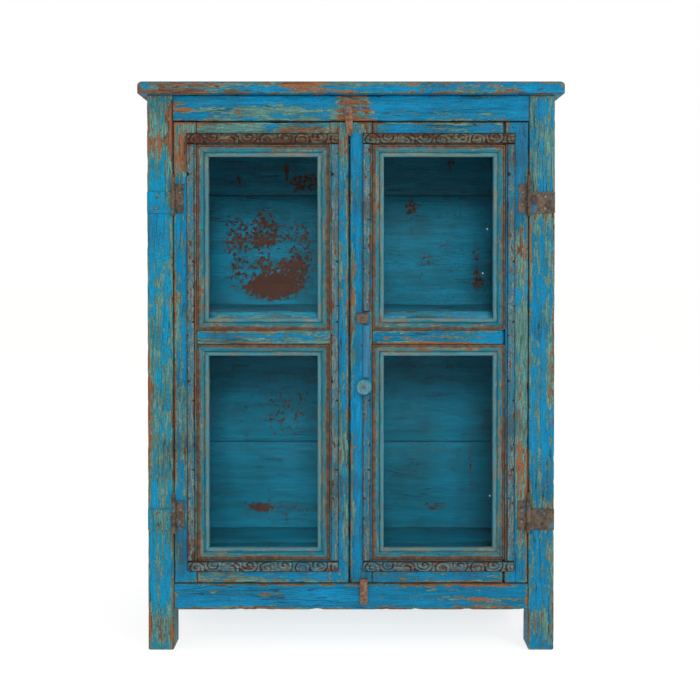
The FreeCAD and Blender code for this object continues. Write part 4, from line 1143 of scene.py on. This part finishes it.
# %% Beads
BEAD_SECTION = [
    (23.0, 11.0), (23.0, 0.7), (22.3, 0.1), (19.8, 0.1), (19.2, 1.5), (17.6, 2.1), (14.6, 2.5), (11.6, 3.6),
    (9.4, 5.2), (8.8, 5.0), (8.0, 3.9), (6.4, 3.1), (4.2, 3.0), (2.2, 3.6), (0.8, 4.8), (0.2, 6.4),
    (0.2, 11.0)]
BEAD_WIDTH = BEAD_SECTION[0][0]
BEAD_GAP = 0.35 * MM
BEAD_RIPPLE = 0.35 * MM
BEAD_STEP = 14 * MM


def bead(whole, corner, along, outward, length):
    """Adds one mitred bead that starts at a corner of the sight opening and runs along its edge."""
    work = bmesh.new()
    depth = Vector((0, 1, 0))
    ring = []
    for out, down in BEAD_SECTION:
        out, down = max(out * MM - BEAD_GAP, 0.1 * MM), down * MM
        ring.append(work.verts.new(corner + outward * out - along * (out - BEAD_GAP) + depth * down))
    start = work.faces.new(ring)
    pulled = bmesh.ops.extrude_face_region(work, geom=[start])["geom"]
    for item in pulled:
        if isinstance(item, bmesh.types.BMVert):
            out = (item.co - corner).dot(outward)
            item.co += along * (length + 2 * (out - BEAD_GAP))
    axis = X if abs(along.x) > 0.5 else Z
    bmesh.ops.recalc_face_normals(work, faces=work.faces)
    lengthwise = [edge for edge in work.edges
                  if abs((edge.verts[1].co - edge.verts[0].co)[axis]) > length / 2]
    bmesh.ops.subdivide_edges(work, edges=lengthwise, cuts=round(length / BEAD_STEP), use_grid_fill=True)
    places = [vert.co for vert in work.verts]
    low = Vector([min(place[axis] for place in places) for axis in range(3)])
    high = Vector([max(place[axis] for place in places) for axis in range(3)])
    mark(work, low, high, axis)
    rim = work.verts.layers.float.new("rim")
    for vert in work.verts:
        vert[rim] = (vert.co - corner).dot(outward) / (BEAD_WIDTH * MM)
        vert.co.y += BEAD_RIPPLE * (0.5 + 0.5 * noise.noise(vert.co * 30))
    add_to(whole, work)


for side in ("left", "right"):
    for level in ("upper", "lower"):
        node = f"{side}_door_{level}_beads"
        low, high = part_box(node)
        inset = BEAD_WIDTH * MM
        sight_low = Vector((low.x + inset, low.y, low.z + inset))
        sight_high = Vector((high.x - inset, low.y, high.z - inset))
        corners = [sight_low, Vector((sight_high.x, low.y, sight_low.z)), sight_high,
                   Vector((sight_low.x, low.y, sight_high.z))]
        outwards = [Vector((0, 0, -1)), Vector((1, 0, 0)), Vector((0, 0, 1)), Vector((-1, 0, 0))]
        whole = bmesh.new()
        for number in range(4):
            way = corners[(number + 1) % 4] - corners[number]
            bead(whole, corners[number], way.normalized(), outwards[number], way.length)
        present(whole, node, "bead_paint", bead_paint, sharp=30)
print("bead frames made, sight", [round(v / MM, 1) for v in sight_high - sight_low])

# %% [markdown]
# ## Panes
# Old sheet glass is never quite flat. Each pane is a thin block, divided and then pushed about by a
# fraction of a millimetre, always inwards, so that it still fits its rebate.

# %% Panes
PANE_RIPPLE = 0.25 * MM
for side in ("left", "right"):
    for level in ("upper", "lower"):
        node = f"{side}_door_{level}_glass"
        low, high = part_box(node)
        work = block(low, high)
        divide(work, X, 24 * MM)
        divide(work, Z, 24 * MM)
        for vert in work.verts:
            inward = 1 if vert.co.y < (low.y + high.y) / 2 else -1
            vert.co.y += inward * PANE_RIPPLE * (0.5 + 0.5 * noise.noise(vert.co * 9))
        present(work, node, "glass", glass)
print("panes are", [round(side / MM) for side in high - low])

# %% [markdown]
# ## Carved strips
# Round the panes of each door a thin carved strip is nailed on. The upright ones have a running pattern
# of leaves, worn almost flat, with a dark nick where two leaves meet. The cross ones, above and below,
# carry scrolls. The pattern is cut like a carver does it: the strip starts flat, and each
# point of its face sinks by the depth of the pattern there.

# %% Carving patterns
LEAF = 29 * MM
SCROLL = 34 * MM
CUT = 2.6 * MM


def leaf_cut(run, across):
    """Depth of the leaf pattern, 0 on top and 1 in the ground. Across is -1 to 1."""
    drift = noise.noise(Vector((run * 21, 5.0, 1.0))) * 0.5
    place = (run / LEAF + drift) % 1
    outline = abs(across) - (0.55 + 0.4 * math.sin(math.pi * place))
    groove = 0.3 * max(0.0, 1 - abs(outline) / 0.2)
    kept = noise.noise(Vector((run * 55, across * 0.8, 7.0)))
    to_meeting = min(place, 1 - place) * LEAF / (2.6 * MM)
    nick = min(1.0, max(0.0, 1.5 - to_meeting - (1 - abs(across)) * 0.9)) * max(0.0, 0.3 + 2.2 * kept)
    crown = 0.22 * across * across
    return max(groove, nick, crown)


def scroll_cut(run, across):
    """Depth of the scroll pattern: broken rings round a centre that swings from side to side."""
    number = math.floor(run / SCROLL)
    side = 0.3 if number % 2 else -0.3
    along = ((run / SCROLL) % 1 - 0.5) * SCROLL
    away = (across - side) * 10 * MM
    worn = noise.noise(Vector((run * 60, across * 0.9, 3.0)))
    far = math.hypot(along * 0.8, away) + worn * 2.2 * MM
    turn = math.atan2(away, along) / (2 * math.pi)
    ring = 0.5 + 0.5 * math.cos((far / (6.8 * MM) + turn) * 2 * math.pi)
    border = 0.6 * min(1.0, max(0.0, (abs(across) - 0.84) * 9))
    return max(min(1.0, 0.8 + 0.6 * worn) * ring, border)


def strip(whole, low, high, along, pattern, bar=1.5 * MM):
    """Adds one carved strip."""
    across = X if along == Z else Z
    work = block(low, high)
    round_edges(work, work.edges[:], 0.6 * MM, segments=1)
    divide(work, along, bar)
    divide(work, across, bar)
    mark(work, low, high, along)
    cut_mark = work.verts.layers.float.new("cut")
    middle = (low[across] + high[across]) / 2
    half = (high[across] - low[across]) / 2
    for vert in work.verts:
        if vert.co.y > low.y + 0.7 * MM:
            continue
        worn = 0.55 + 0.45 * noise.noise(vert.co * 17)
        depth = pattern(vert.co[along] - low[along], (vert.co[across] - middle) / half)
        wobble = 0.25 * max(0.0, noise.noise(vert.co * 90) + 0.5 * noise.noise(vert.co * 260))
        vert[cut_mark] = depth
        vert.co.y += CUT * min(1.0, depth * (0.45 + 0.55 * worn) + wobble)
    add_to(whole, work)


# %% [markdown]
# The carved strips lie on the front of the doors, round both panes. On the right door the upright one is
# broken by the knob and the boss, with a plain half-round bar between them. Each door's strips could be one
# mitred frame. Bars that butt are simpler, and each pattern can run along its own bar.

# %% Carved strips of both doors, and the round bar between knob and boss
UPRIGHT_STRIP = 15 * MM
CROSS_STRIP = 20 * MM
BUTT = 0.6 * MM
ROD_STEPS = 14
ROD_RIPPLE = 0.3 * MM
TOP_STRIP_SLOT, ROD_SLOT = 1, 2
knob_low, knob_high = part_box("right_door_knob")
boss_low, boss_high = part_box("right_door_boss")


def half_round(whole, low, high):
    """Adds a smooth half-round bar that lies along the door's face, closed by its flat back."""
    work = bmesh.new()
    centre = (low.x + high.x) / 2
    radius = (high.x - low.x) / 2
    first = work.verts.new((low.x, high.y, low.z))
    bmesh.ops.spin(work, geom=[first], cent=(centre, high.y, low.z), axis=(0, 0, 1), angle=math.pi,
                   steps=ROD_STEPS, use_merge=False, dvec=(0, 0, 0))
    bmesh.ops.scale(work, vec=(1, (high.y - low.y) / radius, 1), space=Matrix.Translation((0, -high.y, 0)),
                    verts=work.verts)
    bmesh.ops.contextual_create(work, geom=work.edges[:] + work.verts[:])
    pull(work, work.faces[:], Vector((0, 0, high.z - low.z)))
    bmesh.ops.recalc_face_normals(work, faces=work.faces)
    divide(work, Z, 8 * MM)
    mark(work, low, high, Z)
    cut_mark = work.verts.layers.float.new("cut")
    for vert in work.verts:
        vert[cut_mark] = 0.0
        vert.co.y = max(low.y, vert.co.y + ROD_RIPPLE * noise.noise(vert.co * 40))
    add_to(whole, work)


for side in ("left", "right"):
    node = f"{side}_door_carved_strips"
    low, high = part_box(node)
    whole = bmesh.new()
    for bottom in (low.z, high.z - CROSS_STRIP):
        strip(whole, Vector((low.x, low.y, bottom)), Vector((high.x, high.y, bottom + CROSS_STRIP)), X,
              scroll_cut)
    for start in (low.x, high.x - UPRIGHT_STRIP):
        left, right = start, start + UPRIGHT_STRIP
        bottom, top = low.z + CROSS_STRIP + BUTT, high.z - CROSS_STRIP - BUTT
        if left < knob_low.x or left > knob_high.x:
            strip(whole, Vector((left, low.y, bottom)), Vector((right, high.y, top)), Z, leaf_cut)
            continue
        strip(whole, Vector((left, low.y, bottom)), Vector((right, high.y, knob_low.z - BUTT)), Z, leaf_cut)
        first_face = len(whole.faces)
        half_round(whole, Vector((left, low.y, knob_high.z + BUTT)),
                   Vector((right, high.y, boss_low.z - BUTT)))
        whole.faces.ensure_lookup_table()
        for face in whole.faces[first_face:]:
            face.material_index = ROD_SLOT
        strip(whole, Vector((left, low.y, boss_high.z + BUTT)), Vector((right, high.y, top)), Z, leaf_cut)
    for face in whole.faces:
        if face.calc_center_median().z > high.z - CROSS_STRIP:
            face.material_index = TOP_STRIP_SLOT
    print(node, "has", len(whole.faces), "faces")
    present(whole, node, "carved_paint", carved_paint, carved_brown, rod_paint, sharp=60)

# %% [markdown]
# ## Knob and boss
# The knob is a turned wooden disc with a low rim, dusty blue, held by a screw. Turned work is the
# natural job for a spin: half its section is drawn and turned once round the screw's line. The boss is
# a worn rounded block that was whittled by hand, so it starts as a block with very large bevels.

# %% Knob, screw and boss
knob_paint = painted(
    "knob_paint", (colour(66, 124, 142), colour(84, 138, 148), colour(104, 134, 132), colour(84, 110, 112),
                   colour(120, 96, 74), colour(78, 66, 58)),
    wear=-0.02, undercoat=0.2, edge=0.3, reach=2, splits=0.2, dirt=0.5, depth=0.3)
boss_paint = painted(
    "boss_paint", (colour(104, 104, 92), colour(86, 92, 88), colour(120, 98, 78), colour(92, 78, 66),
                   colour(138, 94, 64), colour(74, 56, 46)),
    wear=0.2, undercoat=0.3, edge=0.3, reach=3, splits=0.4, dirt=0.5, depth=0.5)


def turned(profile, centre, steps=48):
    """Spins a profile of (radius, distance along Y) in millimetres once round a line through the centre."""
    work = bmesh.new()
    ring = [work.verts.new(centre + Vector((radius * MM, along * MM, 0))) for radius, along in profile]
    edges = [work.edges.new(pair) for pair in zip(ring, ring[1:])]
    bmesh.ops.spin(work, geom=ring + edges, cent=centre, axis=(0, 1, 0), angle=2 * math.pi, steps=steps,
                   use_merge=True, dvec=(0, 0, 0))
    bmesh.ops.remove_doubles(work, verts=work.verts, dist=WELD)
    bmesh.ops.recalc_face_normals(work, faces=work.faces)
    return work


knob_centre = Vector(((knob_low.x + knob_high.x) / 2, knob_low.y, (knob_low.z + knob_high.z) / 2))
knob_radius = (knob_high.x - knob_low.x) / 2 / MM
knob_depth = (knob_high.y - knob_low.y) / MM
knob_profile = [
    (0, 1.2), (3.2, 1.2), (3.8, 1.6), (8.5, 1.4), (knob_radius - 3.2, 1.1), (knob_radius - 2.4, 0.3),
    (knob_radius - 1.2, 0.05), (knob_radius - 0.3, 0.7), (knob_radius, 2.0), (knob_radius - 0.2, 5.5),
    (knob_radius - 1.6, 8.0), (knob_radius - 4.5, 10.2), (knob_radius - 6.5, 14.0),
    (knob_radius - 6.0, knob_depth - 3), (knob_radius - 4.5, knob_depth - 0.3), (0, knob_depth - 0.3)]
work = turned(knob_profile, knob_centre)
mark(work, knob_low, knob_high, Z)
for vert in work.verts:
    vert.co.y += 0.3 * MM * max(0.0, noise.noise(vert.co * 60))
present(work, "right_door_knob", "knob_paint", knob_paint, sharp=35)

work = block(boss_low, boss_high)
bmesh.ops.scale(work, vec=(1, 1, 0.84), space=Matrix.Translation((0, 0, -(boss_low.z + boss_high.z) / 2)),
                verts=work.verts)
front_edges = [edge for edge in work.edges if not all(vert.co.y > boss_high.y - MM for vert in edge.verts)]
round_edges(work, front_edges, 6.4 * MM, segments=6)
bmesh.ops.subdivide_edges(work, edges=work.edges[:], cuts=1, use_grid_fill=True)
mark(work, boss_low, boss_high, X)
boss_middle = (boss_low + boss_high) / 2
for vert in work.verts:
    vert.co = boss_middle + (vert.co - boss_middle) * (1 - 0.06 * (0.5 + 0.5 * noise.noise(vert.co * 130)))
present(work, "right_door_boss", "boss_wood", boss_paint, sharp=60)
print("knob radius", round(knob_radius, 1), "depth", round(knob_depth, 1))

# %% [markdown]
# ## Iron parts
# Hinge leaves, pins, nails, screw and turn buttons already have their working shapes, and they have to
# keep them to turn. What they lack is the eased edge and the hammered face of forged iron. So each is a
# merged copy of its frame part with its edges rounded. On the left post the hinge plates were painted
# over with the post, so their faces take the post's paint.

# %% Forged copies
def forged(node, edge, smallest=30):
    """A merged copy of a node with its sharp outward edges eased. Easing an inward one would add iron."""
    work = bmesh.new()
    work.from_mesh(frame["nodes"][node].data)
    bmesh.ops.remove_doubles(work, verts=work.verts, dist=WELD)
    bmesh.ops.dissolve_limit(work, angle_limit=math.radians(1), verts=work.verts, edges=work.edges)
    bmesh.ops.recalc_face_normals(work, faces=work.faces)
    sharp = [edge for edge in work.edges
             if edge.is_manifold and edge.is_convex and edge.calc_face_angle(0) > math.radians(smallest)]
    round_edges(work, sharp, edge)
    return work


HINGE_LINE = 5 * MM
IRON_PARTS = {
    "frame_hinge_leaves": (0.45, hinge_iron), "left_door_hinge_leaves": (0.45, hinge_iron),
    "right_door_hinge_leaves": (0.45, hinge_iron), "hinge_pins": (0.4, hinge_iron),
    "carcass_nails": (0.3, nail_iron), "left_door_nails": (0.3, nail_iron),
    "right_door_nails": (0.3, nail_iron),
    "turn_button_pins": (0.4, nail_iron), "right_door_knob_screw": (0.3, nail_iron),
}
post_low, post_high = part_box("front_left_post")
for node, (edge, finish) in IRON_PARTS.items():
    work = forged(node, edge * MM)
    mark(work, post_low, post_high, Z)
    if node == "frame_hinge_leaves":
        for face in work.faces:
            face.material_index = 1 if face.calc_center_median().x < post_high.x - HINGE_LINE else 0
    present(work, node, "iron", finish, left_post_paint)

# %% [markdown]
# ## Turn buttons
# A turn button is a strip of iron on a pin, rounder at its edges than the hinges because hands have
# turned it for years. So it is a copy of its forging with its edges eased further than theirs.

# %% Turn buttons
BUTTON_EDGE = 0.9 * MM
for node in ("top_turn_button", "bottom_turn_button"):
    present(forged(node, BUTTON_EDGE), node, "iron", button_iron)
print("buttons made")

# %% [markdown]
# ## Floor
# The floor is a plain sheet. It is a light table, half lit from inside, which keeps the shadow under the
# cabinet soft and pale.

# %% Floor
FLOOR_GLOW = 0.73
FLOOR_PALE = colour(176, 173, 171)
FLOOR_TONE = colour(180, 177, 175)
floor_mesh = bpy.data.meshes.new("floor")
floor_shape = bmesh.new()
bmesh.ops.create_grid(floor_shape, x_segments=1, y_segments=1, size=30)
floor_shape.to_mesh(floor_mesh)
floor_shape.free()
floor = bpy.data.objects.new("floor", floor_mesh)
bpy.context.scene.collection.objects.link(floor)
floor_white, floor_tree, floor_shader = start_material("floor_white")
floor_tone = cloud(floor_tree, part(floor_tree, "TexCoord").outputs["Object"], 0.8)
feed(floor_tree, floor_shader.inputs["Base Color"], tint(floor_tree, floor_tone, FLOOR_PALE, FLOOR_TONE))
feed(floor_tree, floor_shader.inputs["Emission Color"], (1, 1, 1, 1))
floor_shader.inputs["Emission Strength"].default_value = FLOOR_GLOW
floor_shader.inputs["Roughness"].default_value = 0.9
floor_shader.inputs["Specular IOR Level"].default_value = 0.1
floor_mesh.materials.append(floor_white)
